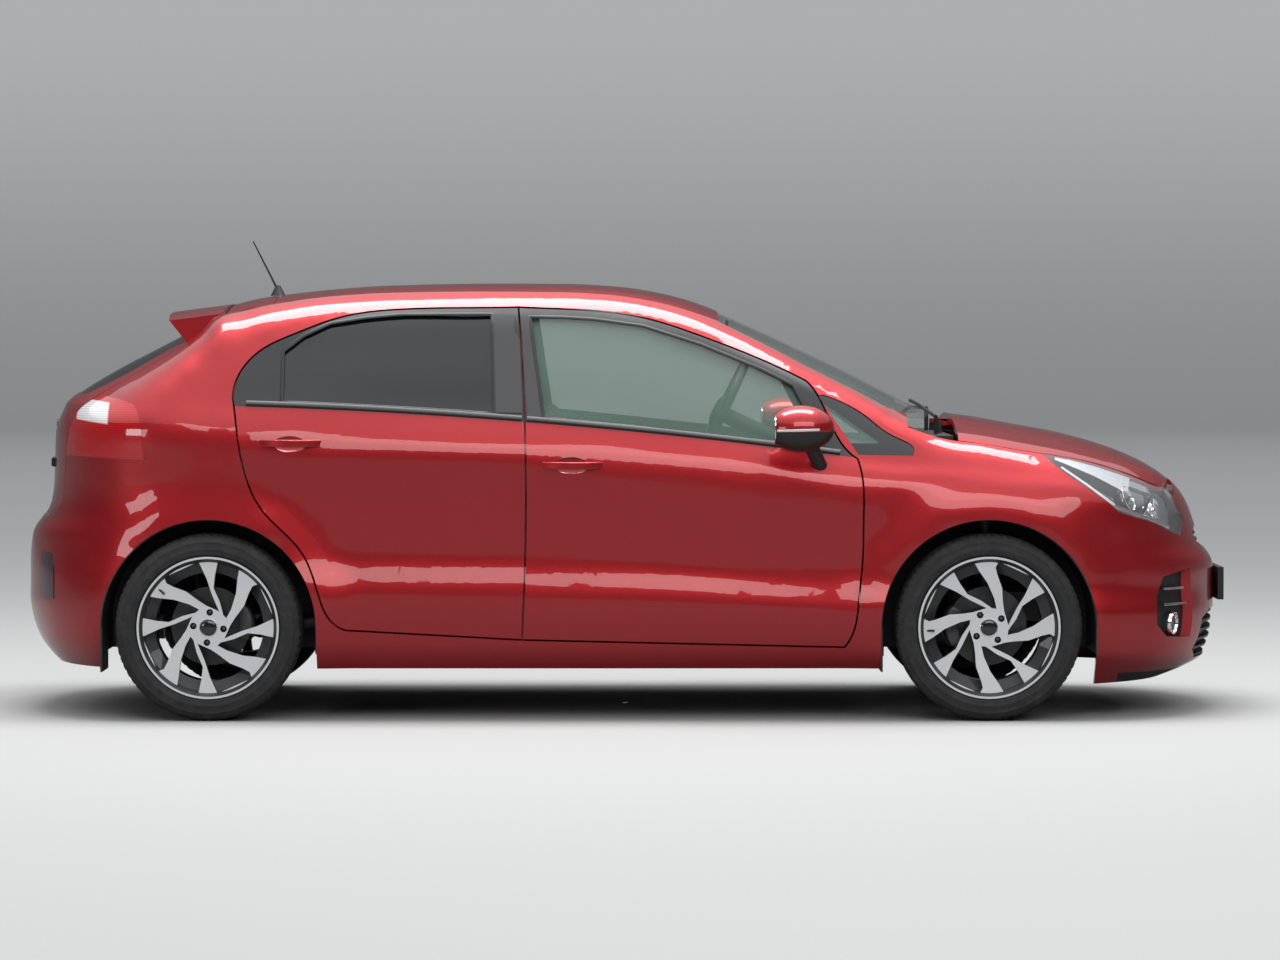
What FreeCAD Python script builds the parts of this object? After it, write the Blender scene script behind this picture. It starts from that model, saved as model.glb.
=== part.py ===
"""Five-door hatchback car, built as separate panels, glass, wheels and running gear.

Frame: +X forward, +Y to the car's left, +Z up. The origin is on the ground, midway along the car.
Side outlines are pairs (along, up). "along" runs from -1 at the tail, through 0 at the rear axle
and 1 at the front axle, to 2 at the nose; "up" is a share of the roof's height.
"""
import FreeCAD
import Part
import Sketcher
import math
import os

from FreeCAD import Rotation, Vector

doc = FreeCAD.newDocument("hatchback")

# Driving dimensions, in millimetres
SIZES = [
    ("wheelbase", 2570), ("front_overhang", 815), ("rear_overhang", 665),
    ("body_height", 1445), ("half_width", 857), ("ground_clearance", 170),
    ("rear_axle_place", 1370), ("panel_gap", 6), ("seat_gap", 0.3), ("clear_gap", 6),
    ("corner_front", 680), ("corner_rear", 585), ("roll_radius", 90),
    ("flare_out", 19), ("flare_start", 370), ("flare_end", 500),
    ("arch_radius", 356), ("liner_wall", 4), ("arch_lip", 30),
    ("wall", 110), ("door_edge", 36), ("seal_space", 40), ("door_depth", 105), ("door_inset", 62),
    ("glass", 5), ("glass_depth", 14), ("panel_wall", 22), ("wing_wall", 6), ("bumper_wall", 28),
    ("roof_half", 560), ("roof_wall", 26), ("floor_level", 190), ("floor_wall", 40),
    ("floor_half", 640), ("wheelhouse_half", 455),
    ("track_front", 1494), ("track_rear", 1500),
    ("tyre_radius", 308), ("tyre_width", 205), ("tyre_bead", 222), ("shoulder", 26),
    ("rim_lip", 234), ("rim_wall", 9), ("rim_width", 192), ("rim_well", 188),
    ("hub_radius", 66), ("hub_cap", 28), ("bolt_circle", 100), ("bolt_pocket", 11),
    ("bolt_hole", 6.5), ("spoke_depth", 34), ("spoke_dish", 12), ("face_recess", 14),
    ("disc_radius", 130), ("disc_wall", 22), ("disc_offset", 62), ("hub_barrel", 34),
    ("axle_radius", 14), ("axle_play", 0.05), ("knuckle_wall", 30),
    ("king_low", 680), ("king_low_up", 200), ("king_top", 560), ("king_top_up", 880),
    ("strut_radius", 25), ("spring_radius", 58), ("spring_seat", 650), ("spring_wire", 6),
    ("lid_half", 75), ("lid_corner", 12), ("lid_gap", 8), ("lid_wall", 6), ("lid_pocket",
            45), ("plate_half", 260), ("plate_wall", 19.7),
    ("column_step", 75),
    ("crease_out", 9), ("crease_above", 42), ("crease_below", 95),
    ("handle_half", 114), ("handle_high", 24), ("handle_out", 31), ("handle_wall", 12),
    ("cup_radius", 36), ("cup_half", 68), ("cup_out", 21), ("ball_pin", 7), ("ball_boss", 14),
    ("engine_long", 490), ("engine_wide", 600), ("engine_high", 470),
    ("mast_long", 190), ("mast_radius", 4), ("foot_radius", 26), ("foot_high", 36),
    ("can_radius", 65), ("can_long", 260), ("pipe_radius", 24), ("pipe_long", 285),
]
sheet = doc.addObject("Spreadsheet::Sheet", "sizes")
for row, (alias, value) in enumerate(SIZES, start=1):
    sheet.set("A%d" % row, alias)
    sheet.set("B%d" % row, str(value))
    sheet.setAlias("B%d" % row, alias)
doc.recompute()


mm = type("Sizes", (), {alias: float(sheet.get(alias)) for alias, _ in SIZES})

REAR_AXLE = -mm.rear_axle_place
FRONT_AXLE = REAR_AXLE + mm.wheelbase
NOSE = FRONT_AXLE + mm.front_overhang
TAIL = REAR_AXLE - mm.rear_overhang
DOWN, UP, LEFT, AHEAD = Vector(0, 0, -1), Vector(0, 0, 1), Vector(0, 1, 0), Vector(1, 0, 0)


def along(share):
    """Place on X of a share: -1 tail, 0 rear axle, 1 front axle, 2 nose."""
    if share < 0:
        return REAR_AXLE + share * mm.rear_overhang
    if share > 1:
        return FRONT_AXLE + (share - 1) * mm.front_overhang
    return REAR_AXLE + share * mm.wheelbase


def share_along(x):
    """The share that stands for a place on X."""
    if x < REAR_AXLE:
        return (x - REAR_AXLE) / mm.rear_overhang
    if x > FRONT_AXLE:
        return 1 + (x - FRONT_AXLE) / mm.front_overhang
    return (x - REAR_AXLE) / mm.wheelbase


def up(share):
    return share * mm.body_height


def across(share):
    return share * mm.half_width


def curve_through(pairs):
    """A smooth function through (input, output) pairs that never overshoots between them."""
    pairs = sorted(pairs)
    xs = [p[0] for p in pairs]
    ys = [p[1] for p in pairs]
    steps = [b - a for a, b in zip(xs, xs[1:])]
    slopes = [(b - a) / s for a, b, s in zip(ys, ys[1:], steps)]
    tangents = [slopes[0]]
    for i in range(1, len(slopes)):
        before, after = slopes[i - 1], slopes[i]
        if before * after <= 0:
            tangents.append(0.0)
        else:
            tangents.append(2 * before * after / (before + after))
    tangents.append(slopes[-1])

    def value(x):
        if x <= xs[0]:
            return ys[0] + tangents[0] * (x - xs[0])
        if x >= xs[-1]:
            return ys[-1] + tangents[-1] * (x - xs[-1])
        i = max(k for k in range(len(steps)) if xs[k] <= x)
        t = (x - xs[i]) / steps[i]
        a, b = ys[i], ys[i + 1]
        ta, tb = tangents[i] * steps[i], tangents[i + 1] * steps[i]
        return (a * (1 + 2 * t) * (1 - t) ** 2 + ta * t * (1 - t) ** 2
                + b * t * t * (3 - 2 * t) + tb * t * t * (t - 1))

    return value


# The body's surface: centreline over the top, nose and tail in side view, flank in front view
crest_shares = [
    (2.0, 0.40), (1.93, 0.46), (1.856, 0.513), (1.763, 0.558), (1.599, 0.605), (1.355, 0.646),
    (1.1, 0.673), (0.985, 0.687), (0.935, 0.703), (0.902, 0.727), (0.835, 0.788), (0.768, 0.844),
    (0.714, 0.889), (0.655, 0.935), (0.62, 0.9585), (0.572, 0.980), (0.521, 0.993), (0.459, 0.999),
    (0.365, 1.0), (0.231, 0.996), (0.164, 0.989), (0.097, 0.977), (0.047, 0.965), (0.012, 0.950),
    (-0.075, 0.921), (-0.221, 0.882), (-0.466, 0.822), (-0.687, 0.765), (-0.797, 0.728),
    (-0.9, 0.68), (-1.0, 0.60),
]
crown_shares = [(2, 0.10), (1.6, 0.072), (1.0, 0.066), (0.85, 0.066), (0.65, 0.055), (0.5, 0.043),
                (0.15, 0.043), (0.03, 0.060), (-0.15, 0.10), (-0.6, 0.115), (-1, 0.11)]
nose_shares = [(0.08, 1.78), (0.107, 1.914), (0.138, 1.969), (0.18, 1.994), (0.228, 2.0),
               (0.332, 2.0), (0.367, 1.978), (0.392, 1.945), (0.425, 1.925), (0.484, 1.89),
               (0.515, 1.862), (0.56, 1.81), (0.623, 1.74), (0.70, 1.64)]
tail_shares = [(0.08, -0.78), (0.125, -0.872), (0.157, -0.932), (0.202, -0.977), (0.245, -1.0),
               (0.364, -1.0), (0.408, -0.989), (0.439, -0.962), (0.471, -0.905), (0.512, -0.880),
               (0.555, -0.874), (0.651, -0.865), (0.71, -0.824), (0.761, -0.737), (0.817, -0.617),
               (0.886, -0.406), (0.94, -0.2)]
belt_shares = [(1.5, 0.545), (1.2, 0.565), (0.913, 0.590), (0.835, 0.602), (0.716, 0.633),
               (0.453, 0.692), (0.365, 0.703), (0.035, 0.736), (-0.3, 0.755), (-0.8, 0.76)]
flank_shares = [(-0.1, 0.86), (0, 0.905), (0.07, 0.951), (0.15, 0.974), (0.27, 0.992),
                (0.33, 0.990), (0.42, 0.974), (0.6, 0.981), (0.8, 0.990), (0.87, 0.986),
                (0.94, 0.965), (1.0, 0.933)]
crease_shares = [(-0.55, 0.683), (-0.29, 0.663), (0.036, 0.641), (0.157, 0.618), (0.40, 0.606),
                 (0.55, 0.560), (0.70, 0.475)]
plan_taper_share = 0.030
house_taper_share = 0.050
house_lean_share = 0.34
house_bow_share = 0.36
spoiler_fall_share = 0.13
door_tilt = 0.0262
plate_low_share = 0.256
plate_high_share = 0.332
corner_power = 3.0
corner_round = 2.2
mid_share = 0.46
crest = curve_through(crest_shares)
crown = curve_through(crown_shares)
nose = curve_through(nose_shares)
tail = curve_through(tail_shares)
belt = curve_through(belt_shares)
crease = curve_through(crease_shares)
flank = curve_through(flank_shares)


def belt_height(x):
    return up(belt(share_along(x)))


def top_height(x, y):
    """Height of the bonnet, screen, roof or rear glass over a point of the plan."""
    share = share_along(x)
    return up(crest(share)) - up(crown(share)) * (y / mm.half_width) ** 2


def bulge(distance, start, end):
    """1 inside start, 0 past end, smooth between."""
    t = min(1.0, max(0.0, (end - distance) / (end - start)))
    return t * t * (3 - 2 * t)


def shoulder_line(x, z):
    """How far the shoulder crease lifts the flank: sharp above the line, soft below it."""
    share = share_along(x)
    rise = z - up(crease(share))
    reach = mm.crease_above if rise > 0 else mm.crease_below
    fade = bulge(share, 0.30, 0.66) * bulge(-share, 0.35, 0.70)
    return mm.crease_out * fade * bulge(abs(rise), 0, reach * 1.6)


def side_reach(x, z):
    """Distance from the centreline to the body's side at a place and height."""
    waist = belt_height(x)
    rise = z - waist
    share = (z - mm.ground_clearance) / (waist - mm.ground_clearance)
    reach = across(flank(min(1.0, share)))
    offset = (x - along(mid_share)) / (mm.wheelbase / 2)
    if rise > 0:
        reach -= house_lean_share * rise + house_bow_share * rise * rise / mm.body_height
        reach -= across(house_taper_share) * offset * offset * rise / (mm.body_height / 4)
    reach -= across(plan_taper_share) * offset * offset / 2
    reach += shoulder_line(x, z)
    for axle in (FRONT_AXLE, REAR_AXLE):
        distance = math.hypot(x - axle, z - mm.tyre_radius)
        reach += mm.flare_out * bulge(distance, mm.flare_start, mm.flare_end)
    for sign, start, end in ((1, NOSE - mm.corner_front, along(nose(z / mm.body_height))),
                             (-1, TAIL + mm.corner_rear, along(tail(z / mm.body_height)))):
        length = max(sign * (end - start), mm.corner_front / 4)
        t = sign * (x - start) / length
        if t > 0:
            reach *= max(0.0, 1 - min(t, 1.0) ** corner_power) ** (1 / corner_round)
    return reach


def outside(x, y, z):
    """Below zero inside the body, above zero outside it. Side and top meet in a rolled edge."""
    side = abs(y) - side_reach(x, z)
    top = z - top_height(x, y)
    blend = max(0.0, mm.roll_radius - abs(side - top)) / mm.roll_radius
    return max(side, top) + blend * blend * mm.roll_radius / 4


def meet(start, direction, reach):
    """The point where a ray from inside the body passes out through its surface."""
    low, high = 0.0, reach
    for _ in range(30):
        middle = (low + high) / 2
        p = start + direction * middle
        if outside(p.x, p.y, p.z) < 0:
            low = middle
        else:
            high = middle
    return start + direction * low


def spread(low, high, step):
    """Evenly spaced values from low to high, about step apart."""
    count = max(3, int(math.ceil(abs(high - low) / step)))
    return [low + (high - low) * i / count for i in range(count + 1)]


def spline_poles(points):
    """Poles of an even cubic spline through a row of points."""
    last = len(points) - 1
    head = points[0] + (points[1] * 4 - points[0] * 3 - points[2]) / 6
    foot = points[last] - (points[last] * 3 - points[last - 1] * 4 + points[last - 2]) / 6
    inner = points[1:last]
    low = [1 / 4] + [1 / 6] * (len(inner) - 1)
    middle = [7 / 12] + [2 / 3] * (len(inner) - 2) + [7 / 12]
    high = [1 / 6] * (len(inner) - 1) + [1 / 4]
    inner[0] = inner[0] - head * low[0]
    inner[-1] = inner[-1] - foot * high[-1]
    for i in range(1, len(inner)):
        factor = low[i] / middle[i - 1]
        middle[i] -= factor * high[i - 1]
        inner[i] = inner[i] - inner[i - 1] * factor
    inner[-1] = inner[-1] / middle[-1]
    for i in range(len(inner) - 2, -1, -1):
        inner[i] = (inner[i] - inner[i + 1] * high[i]) / middle[i]
    return [points[0], head] + inner + [foot, points[last]]


def skin(grid):
    """A smooth surface through a grid of points."""
    rows = [spline_poles(row) for row in grid]
    columns = [spline_poles(list(column)) for column in zip(*rows)]
    poles = [list(row) for row in zip(*columns)]
    knots = [list(range(count)) for count in (len(grid), len(grid[0]))]
    many = [[4] + [1] * (len(k) - 2) + [4] for k in knots]
    surface = Part.BSplineSurface()
    surface.buildFromPolesMultsKnots(poles, many[0], many[1], knots[0], knots[1], False, False, 3, 3)
    return surface


def between(outer, inner):
    """The solid between two grids of points."""
    near, far = skin(outer), skin(inner)
    faces = [near.toShape(), far.toShape()]
    u_low, u_high, v_low, v_high = near.bounds()
    a_low, a_high, b_low, b_high = far.bounds()
    rims = [(near.uIso(u_low), far.uIso(a_low)), (near.uIso(u_high), far.uIso(a_high)),
            (near.vIso(v_low), far.vIso(b_low)), (near.vIso(v_high), far.vIso(b_high))]
    for one, two in rims:
        faces.append(Part.makeRuledSurface(one.toShape(), two.toShape()))
    shell = Part.makeShell(faces)
    shell.sewShape()
    solid = Part.makeSolid(Part.Shell(shell.Faces))
    if solid.Volume < 0:
        solid.reverse()
    return solid


def wrap(columns, wall, depth=0.0):
    """A panel where rays pass out through the body's surface: starts depth inside, wall thick."""
    outer, inner = [], []
    for column in columns:
        hits = [(meet(start, way, 3 * mm.half_width), way) for start, way in column]
        outer.append([p - way * depth for p, way in hits])
        inner.append([p - way * (depth + wall) for p, way in hits])
    return between(outer, inner)


flank_rows = [0, 0.07, 0.14, 0.21, 0.27, 0.33, 0.42, 0.52, 0.64, 0.76, 0.87, 0.94, 1.0]
axis_share = 0.29


def body_column(x, y, way, turns, rows=None):
    """Level rays from the sill to the belt, then rays turned up by each of the angles."""
    waist = belt_height(x + way.x * mm.half_width * 0.7)
    column = []
    for share in rows or flank_rows:
        z = mm.ground_clearance + share * (waist - mm.ground_clearance)
        column.append((Vector(x, y, z), way))
    for turn in turns:
        a = math.radians(turn)
        column.append((Vector(x, y, waist), way * math.cos(a) + UP * math.sin(a)))
    return column


def flank_columns(x_low, x_high, turns, rows=None):
    """Columns of the right flank, one at each step along the car."""
    y = -across(axis_share)
    return [body_column(x, y, Vector(0, -1, 0), turns, rows)
            for x in spread(x_low, x_high, mm.column_step)]


def corner_columns(x, sign, turns, rows=None, steps=12):
    """Columns that turn from the right flank round to the nose (sign 1) or tail (sign -1)."""
    columns = []
    for i in range(1, steps + 1):
        a = math.pi / 2 * i / steps
        way = Vector(sign * math.sin(a), -math.cos(a), 0)
        columns.append(body_column(x, -across(axis_share), way, turns, rows))
    return columns


def end_columns(x_flank, sign, rows):
    """Columns of a bumper: right flank, corner, end, and the same again on the left."""
    turn_x = NOSE - mm.corner_front * 1.02 if sign > 0 else TAIL + mm.corner_rear * 1.02
    half = flank_columns(x_flank, turn_x, [], rows) + corner_columns(turn_x, sign, [], rows)
    flat = []
    for y in spread(-across(axis_share), across(axis_share), mm.column_step)[1:-1]:
        flat.append(body_column(turn_x, y, Vector(sign, 0, 0), [], rows))
    left = [[(Vector(s.x, -s.y, s.z), Vector(w.x, -w.y, w.z)) for s, w in column]
            for column in reversed(half)]
    return half + flat + left


def side_columns(x_low, x_high, z_low):
    """Level rays across the doors, from z_low up to just under the roof edge."""
    columns = []
    shares = spread(0, 1, mm.column_step / (up(0.962) - z_low))
    for x in spread(x_low, x_high, mm.column_step):
        z_high = min(up(0.962), up(crest(share_along(x))) - up(0.032))
        columns.append([(Vector(x, 0, z_low + share * (z_high - z_low)), Vector(0, -1, 0))
                        for share in shares])
    return columns


def top_columns(x_low, x_high, half):
    """Rays straight up through the bonnet, screen or roof, kept inside the body's sides."""
    columns = []
    shares = spread(-1, 1, mm.column_step / half)
    for x in spread(x_low, x_high, mm.column_step):
        reach = min(half, side_reach(x, up(mid_share)) - mm.panel_gap)
        columns.append([(Vector(x, reach * share, up(mid_share) / 2), UP) for share in shares])
    return columns


def tail_columns(half):
    """Rays back through the tailgate, turned up towards the roof."""
    x, waist = along(0.045), up(0.735)
    columns = []
    for y in spread(-half, half, mm.column_step):
        column = [(Vector(x, y, z), Vector(-1, 0, 0))
                  for z in spread(up(0.44), waist, mm.column_step * 0.6)]
        for turn in (9, 18, 26, 34, 42, 50, 58, 66, 74, 82, 90):
            a = math.radians(turn)
            column.append((Vector(x, y, waist), Vector(-math.cos(a), 0, math.sin(a))))
        columns.append(column)
    return columns


def mirrored(shape):
    return shape.mirror(Vector(0, 0, 0), LEFT)


def pair(shape):
    return Part.makeCompound([shape, mirrored(shape)])


def to_side(points):
    """Side-view shares to points on the plane y = 0."""
    return [Vector(along(a), 0, up(b)) for a, b in points]


def closed_wire(runs, gap=0.0):
    """A closed wire of runs of points, moved outwards by gap: two points make a line."""
    points = [p for run in runs for p in run[:-1]]
    count = len(points)
    turn = sum((points[i].cross(points[(i + 1) % count]) for i in range(count)), Vector())
    up_way = turn / turn.Length
    moved = []
    for i, p in enumerate(points):
        before = p - points[i - 1]
        after = points[(i + 1) % count] - p
        one = before.cross(up_way) / before.Length
        two = after.cross(up_way) / after.Length
        moved.append(p + (one + two) * (gap / (1 + one.dot(two))))
    edges = []
    place = 0
    for run in runs:
        part = [moved[(place + i) % count] for i in range(len(run))]
        place += len(run) - 1
        if len(part) == 2:
            edges.append(Part.LineSegment(part[0], part[1]).toShape())
        else:
            curve = Part.BSplineCurve()
            curve.interpolate(part)
            edges.append(curve.toShape())
    return Part.Wire(edges)


def prism_y(wire, y_low, y_high):
    """The wire's outline run across the car from y_low to y_high."""
    face = Part.Face(wire)
    face.translate(Vector(0, y_low, 0))
    return face.extrude(Vector(0, y_high - y_low, 0))


def box(x_low, x_high, y_low, y_high, z_low, z_high):
    return Part.makeBox(x_high - x_low, y_high - y_low, z_high - z_low, Vector(x_low, y_low, z_low))


def rod(radius, start, end):
    return Part.makeCylinder(radius, (end - start).Length, start, end - start)


def polygon(points, gap=0.0):
    """A closed wire of straight lines, moved outwards by gap."""
    ends = list(points) + [points[0]]
    return closed_wire([[one, two] for one, two in zip(ends, ends[1:])], gap)


def largest(shape):
    """The largest solid of a shape."""
    return max(shape.Solids, key=lambda s: s.Volume)


made = {}


def add(label, shape):
    """Adds a finished piece to the document as a free shape."""
    piece = doc.addObject("Part::Feature", label)
    piece.Label = label
    piece.Shape = shape
    made[label] = piece
    return piece


def sized(**shares):
    """A length as shares of sizes in the sheet: its value, and the same as an expression."""
    value = sum(share * getattr(mm, alias) for alias, share in shares.items())
    return value, " + ".join("%r * sizes.%s" % (share, alias) for alias, share in shares.items())


def primitive(kind, name, base, turn=Rotation(), **lengths):
    """A Part primitive at base, its lengths bound to the sheet."""
    piece = doc.addObject("Part::" + kind, name)
    for field, (value, text) in lengths.items():
        piece.setExpression(field, text)
    piece.Placement = FreeCAD.Placement(base, turn)
    return piece


def keep(label, piece):
    """Counts an object of the document as a finished piece."""
    piece.Label = label
    doc.recompute()
    made[label] = piece
    return piece


def sketched(body, plane, points):
    """A closed sketch of straight lines on one of the body's own planes, bound to the sheet."""
    sketch = body.newObject("Sketcher::SketchObject", "outline")
    for origin_plane in body.Origin.OriginFeatures:
        if origin_plane.Role == plane:
            sketch.AttachmentSupport = (origin_plane, "")
    sketch.MapMode = "FlatFace"
    corners = [Vector(a[0], b[0], 0) for a, b in points]
    for i, corner in enumerate(corners):
        sketch.addGeometry(Part.LineSegment(corner, corners[(i + 1) % len(corners)]), False)
    for i, point in enumerate(points):
        sketch.addConstraint(Sketcher.Constraint("Coincident", i, 2, (i + 1) % len(points), 1))
        for kind, (value, text) in zip(("DistanceX", "DistanceY"), point):
            number = sketch.addConstraint(Sketcher.Constraint(kind, i, 1, value))
            sketch.setExpression("Constraints[%d]" % number, text)
    return sketch


def prism_x(wire, x_low, x_high):
    """The wire, drawn on the plane x = 0, run along the car from x_low to x_high."""
    face = Part.Face(wire)
    face.translate(Vector(x_low, 0, 0))
    return face.extrude(Vector(x_high - x_low, 0, 0))


def prism_z(wire, z_low, z_high):
    """The wire, drawn on the plane z = 0, run up the car from z_low to z_high."""
    face = Part.Face(wire)
    face.translate(Vector(0, 0, z_low))
    return face.extrude(Vector(0, 0, z_high - z_low))


# Lines where the panels part, in side view
gap_mid = [(0.402, 0.185), (0.406, 0.367), (0.407, 0.572), (0.405, 0.697), (0.396, 0.943)]
front_top = [(0.396, 0.943), (0.445, 0.9395), (0.502, 0.934), (0.566, 0.915), (0.63, 0.878),
             (0.708, 0.824), (0.767, 0.774)]
front_shut = [(0.767, 0.774), (0.795, 0.690), (0.819, 0.615), (0.832, 0.597)]
front_edge = [(0.832, 0.597), (0.838, 0.549), (0.839, 0.459), (0.838, 0.368), (0.833, 0.277),
              (0.825, 0.198), (0.815, 0.168)]
rear_top = [(0.396, 0.943), (0.32, 0.9415), (0.244, 0.938), (0.167, 0.92), (0.103, 0.878),
            (0.07, 0.85), (0.038, 0.789), (0.031, 0.736)]
rear_edge = [(0.031, 0.736), (0.035, 0.692), (0.041, 0.618), (0.069, 0.482), (0.118, 0.39),
             (0.14, 0.3), (0.156, 0.232), (0.176, 0.207)]
front_bottom = [(0.815, 0.168), (0.402, 0.185)]
rear_bottom = [(0.176, 0.207), (0.402, 0.185)]
window_front = [[(0.431, 0.694), (0.413, 0.917)],
                [(0.413, 0.917), (0.455, 0.9155), (0.494, 0.911), (0.556, 0.896), (0.63, 0.854),
                 (0.708, 0.797), (0.749, 0.761)],
                [(0.749, 0.761), (0.788, 0.626)],
                [(0.788, 0.626), (0.65, 0.653), (0.54, 0.675), (0.431, 0.694)]]
window_rear = [[(0.364, 0.704), (0.36, 0.923)],
               [(0.36, 0.923), (0.30, 0.9225), (0.244, 0.922), (0.20, 0.915), (0.154, 0.902),
                (0.12, 0.873), (0.096, 0.84)],
               [(0.096, 0.84), (0.096, 0.73)],
               [(0.096, 0.73), (0.18, 0.7235), (0.28, 0.714), (0.364, 0.704)]]
quarter_pane = [[(0.782, 0.74), (0.833, 0.606)],
                [(0.833, 0.606), (0.903, 0.604)],
                [(0.903, 0.604), (0.905, 0.616), (0.88, 0.648), (0.844, 0.694), (0.788, 0.743)],
                [(0.788, 0.743), (0.782, 0.74)]]
head_lamp_line = [[(1.22, 0.610), (1.34, 0.602), (1.459, 0.588), (1.57, 0.572), (1.669, 0.552),
                   (1.74, 0.528), (1.785, 0.5)],
                  [(1.785, 0.5), (1.828, 0.453)], [(1.828, 0.453), (1.804, 0.415)],
                  [(1.804, 0.415), (1.74, 0.431), (1.669, 0.449), (1.60, 0.461), (1.525, 0.476)],
                  [(1.525, 0.476), (1.404, 0.529), (1.302, 0.568), (1.22, 0.610)]]
tail_lamp_line = [[(-0.749, 0.695), (-0.684, 0.729), (-0.60, 0.737), (-0.51, 0.738),
                   (-0.44, 0.732), (-0.374, 0.722)],
                  [(-0.374, 0.722), (-0.338, 0.69), (-0.326, 0.65), (-0.314, 0.5946)],
                  [(-0.314, 0.5946), (-0.797, 0.6033)],
                  [(-0.797, 0.6033), (-0.80, 0.65), (-0.79, 0.68), (-0.749, 0.695)]]
FAR = 4 * mm.half_width


def outline(lines, gap=0.0):
    """A closed wire on the plane y = 0 from runs of side-view shares, in order round it."""
    return closed_wire([to_side(line) for line in lines], gap)


front_door_line = [gap_mid, front_top, front_shut, front_edge, front_bottom]
rear_door_line = [gap_mid, rear_top, rear_edge, rear_bottom]


def arch_cut(axle):
    """The open wheel arch: a round above the axle, straight legs below it."""
    axis = Part.makeCylinder(mm.arch_radius, FAR, Vector(axle, -FAR / 2, mm.tyre_radius), LEFT)
    legs = box(axle - mm.arch_radius, axle + mm.arch_radius, -FAR / 2, FAR / 2,
               -mm.tyre_radius, mm.tyre_radius)
    return axis.fuse(legs)


def body_sides():
    """Sills, pillars, roof rails and rear quarters: one ring a side, as thick as the real wall."""
    turns = [7, 14, 21, 28, 34, 40, 45, 50, 56, 63]
    turn_x = TAIL + mm.corner_rear * 1.02
    columns = list(reversed(corner_columns(turn_x, -1, turns)))
    columns += flank_columns(turn_x, along(0.93), turns)
    ring = wrap(columns, mm.wall)
    doors = side_columns(along(-0.10), along(0.90), mm.ground_clearance / 2)
    pocket = wrap(doors, mm.door_edge + mm.seal_space + FAR / 10, -FAR / 10)
    gap = mm.panel_gap / 2
    for line in (front_door_line, rear_door_line):
        ring = ring.cut(pocket.common(prism_y(outline(line, gap), -FAR, 0)))
        ring = ring.cut(prism_y(outline(line, -mm.door_inset / 2), -FAR, 0))
    cuts = [arch_cut(REAR_AXLE), arch_cut(FRONT_AXLE)]
    cuts.append(box(TAIL - FAR, FAR, -mm.roof_half, mm.roof_half, 0, FAR))
    cuts.append(rear_bumper_zone(0))
    cuts.append(prism_y(outline(tail_lamp_line), -FAR, -mm.roof_half / 3))
    cuts.append(hatch_zone(mm.panel_gap))
    cuts.append(fender_zone(0))
    cuts.append(prism_y(outline(quarter_pane), -FAR, 0))
    cuts.append(bonnet_zone(mm.panel_gap))
    for cut in cuts:
        ring = ring.cut(cut)
    return ring


def rear_bumper_zone(gap):
    """Everything below and behind the line where the rear bumper ends."""
    line = [(-0.235, -0.2), (-0.233, 0.442), (-0.248, 0.503), (-0.289, 0.594), (-0.797, 0.603),
            (-1.5, 0.603), (-1.5, -0.2)]
    return prism_y(polygon(to_side(line), gap), -FAR / 2, FAR / 2)


def front_bumper_zone(gap):
    """Everything below and ahead of the line where the front bumper ends."""
    line = [(1.30, -0.2), (1.30, 0.30), (1.345, 0.409), (1.49, 0.4665), (1.525, 0.476),
            (1.60, 0.461), (1.669, 0.449), (1.74, 0.431), (1.804, 0.415), (1.828, 0.453),
            (1.785, 0.5), (1.82, 0.56), (2.5, 0.56), (2.5, -0.2)]
    return prism_y(polygon(to_side(line), gap), -FAR / 2, FAR / 2)


def hatch_outline(gap):
    """The tailgate's outline in rear view."""
    half = [(0.60, 0.462), (0.625, 0.50), (0.655, 0.62), (0.675, 0.74), (0.655, 0.85),
            (0.625, 0.93), (0.60, 1.2)]
    right = [Vector(0, -across(w), up(h)) for w, h in half]
    left = [Vector(0, across(w), up(h)) for w, h in reversed(half)]
    return polygon(right + left, gap)


def hatch_zone(gap):
    """Everything behind the tailgate's shut line."""
    return prism_x(hatch_outline(gap), TAIL - FAR, along(0.012) + gap)


hood_edge_shares = [(0.90, 0.833), (0.942, 0.831), (1.08, 0.828), (1.216, 0.82), (1.459, 0.777),
                    (1.613, 0.709), (1.694, 0.640), (1.748, 0.52), (1.780, 0.35), (1.793, 0.18)]


def bonnet_outline(gap):
    """The bonnet's outline in plan."""
    side = [Vector(along(a), -across(w), 0) for a, w in hood_edge_shares]
    other = [Vector(p.x, -p.y, 0) for p in reversed(side)]
    return closed_wire([side + other, [other[-1], side[0]]], gap)


def bonnet_zone(gap):
    """Everything above the bonnet's underside, inside its outline."""
    return prism_z(bonnet_outline(gap), mm.ground_clearance * 3, FAR)


def fender_zone(gap):
    """Side view of the front wing: from the door's front edge forward, up to the screen pillar."""
    lines = [[(0.806, -0.3), (0.806, 0.168)], [(0.806, 0.168), (0.815, 0.168)],
             list(reversed(front_edge)), [(0.832, 0.597), (0.907, 0.600)],
             [(0.907, 0.600), (0.915, 0.614), (0.885, 0.655), (0.862, 0.689)],
             [(0.862, 0.689), (0.869, 0.713)], [(0.869, 0.713), (0.90, 0.80)],
             [(0.90, 0.80), (2.5, 0.80)], [(2.5, 0.80), (2.5, -0.3)],
             [(2.5, -0.3), (0.806, -0.3)]]
    return prism_y(outline(lines, gap), -FAR / 2, FAR / 2)


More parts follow.
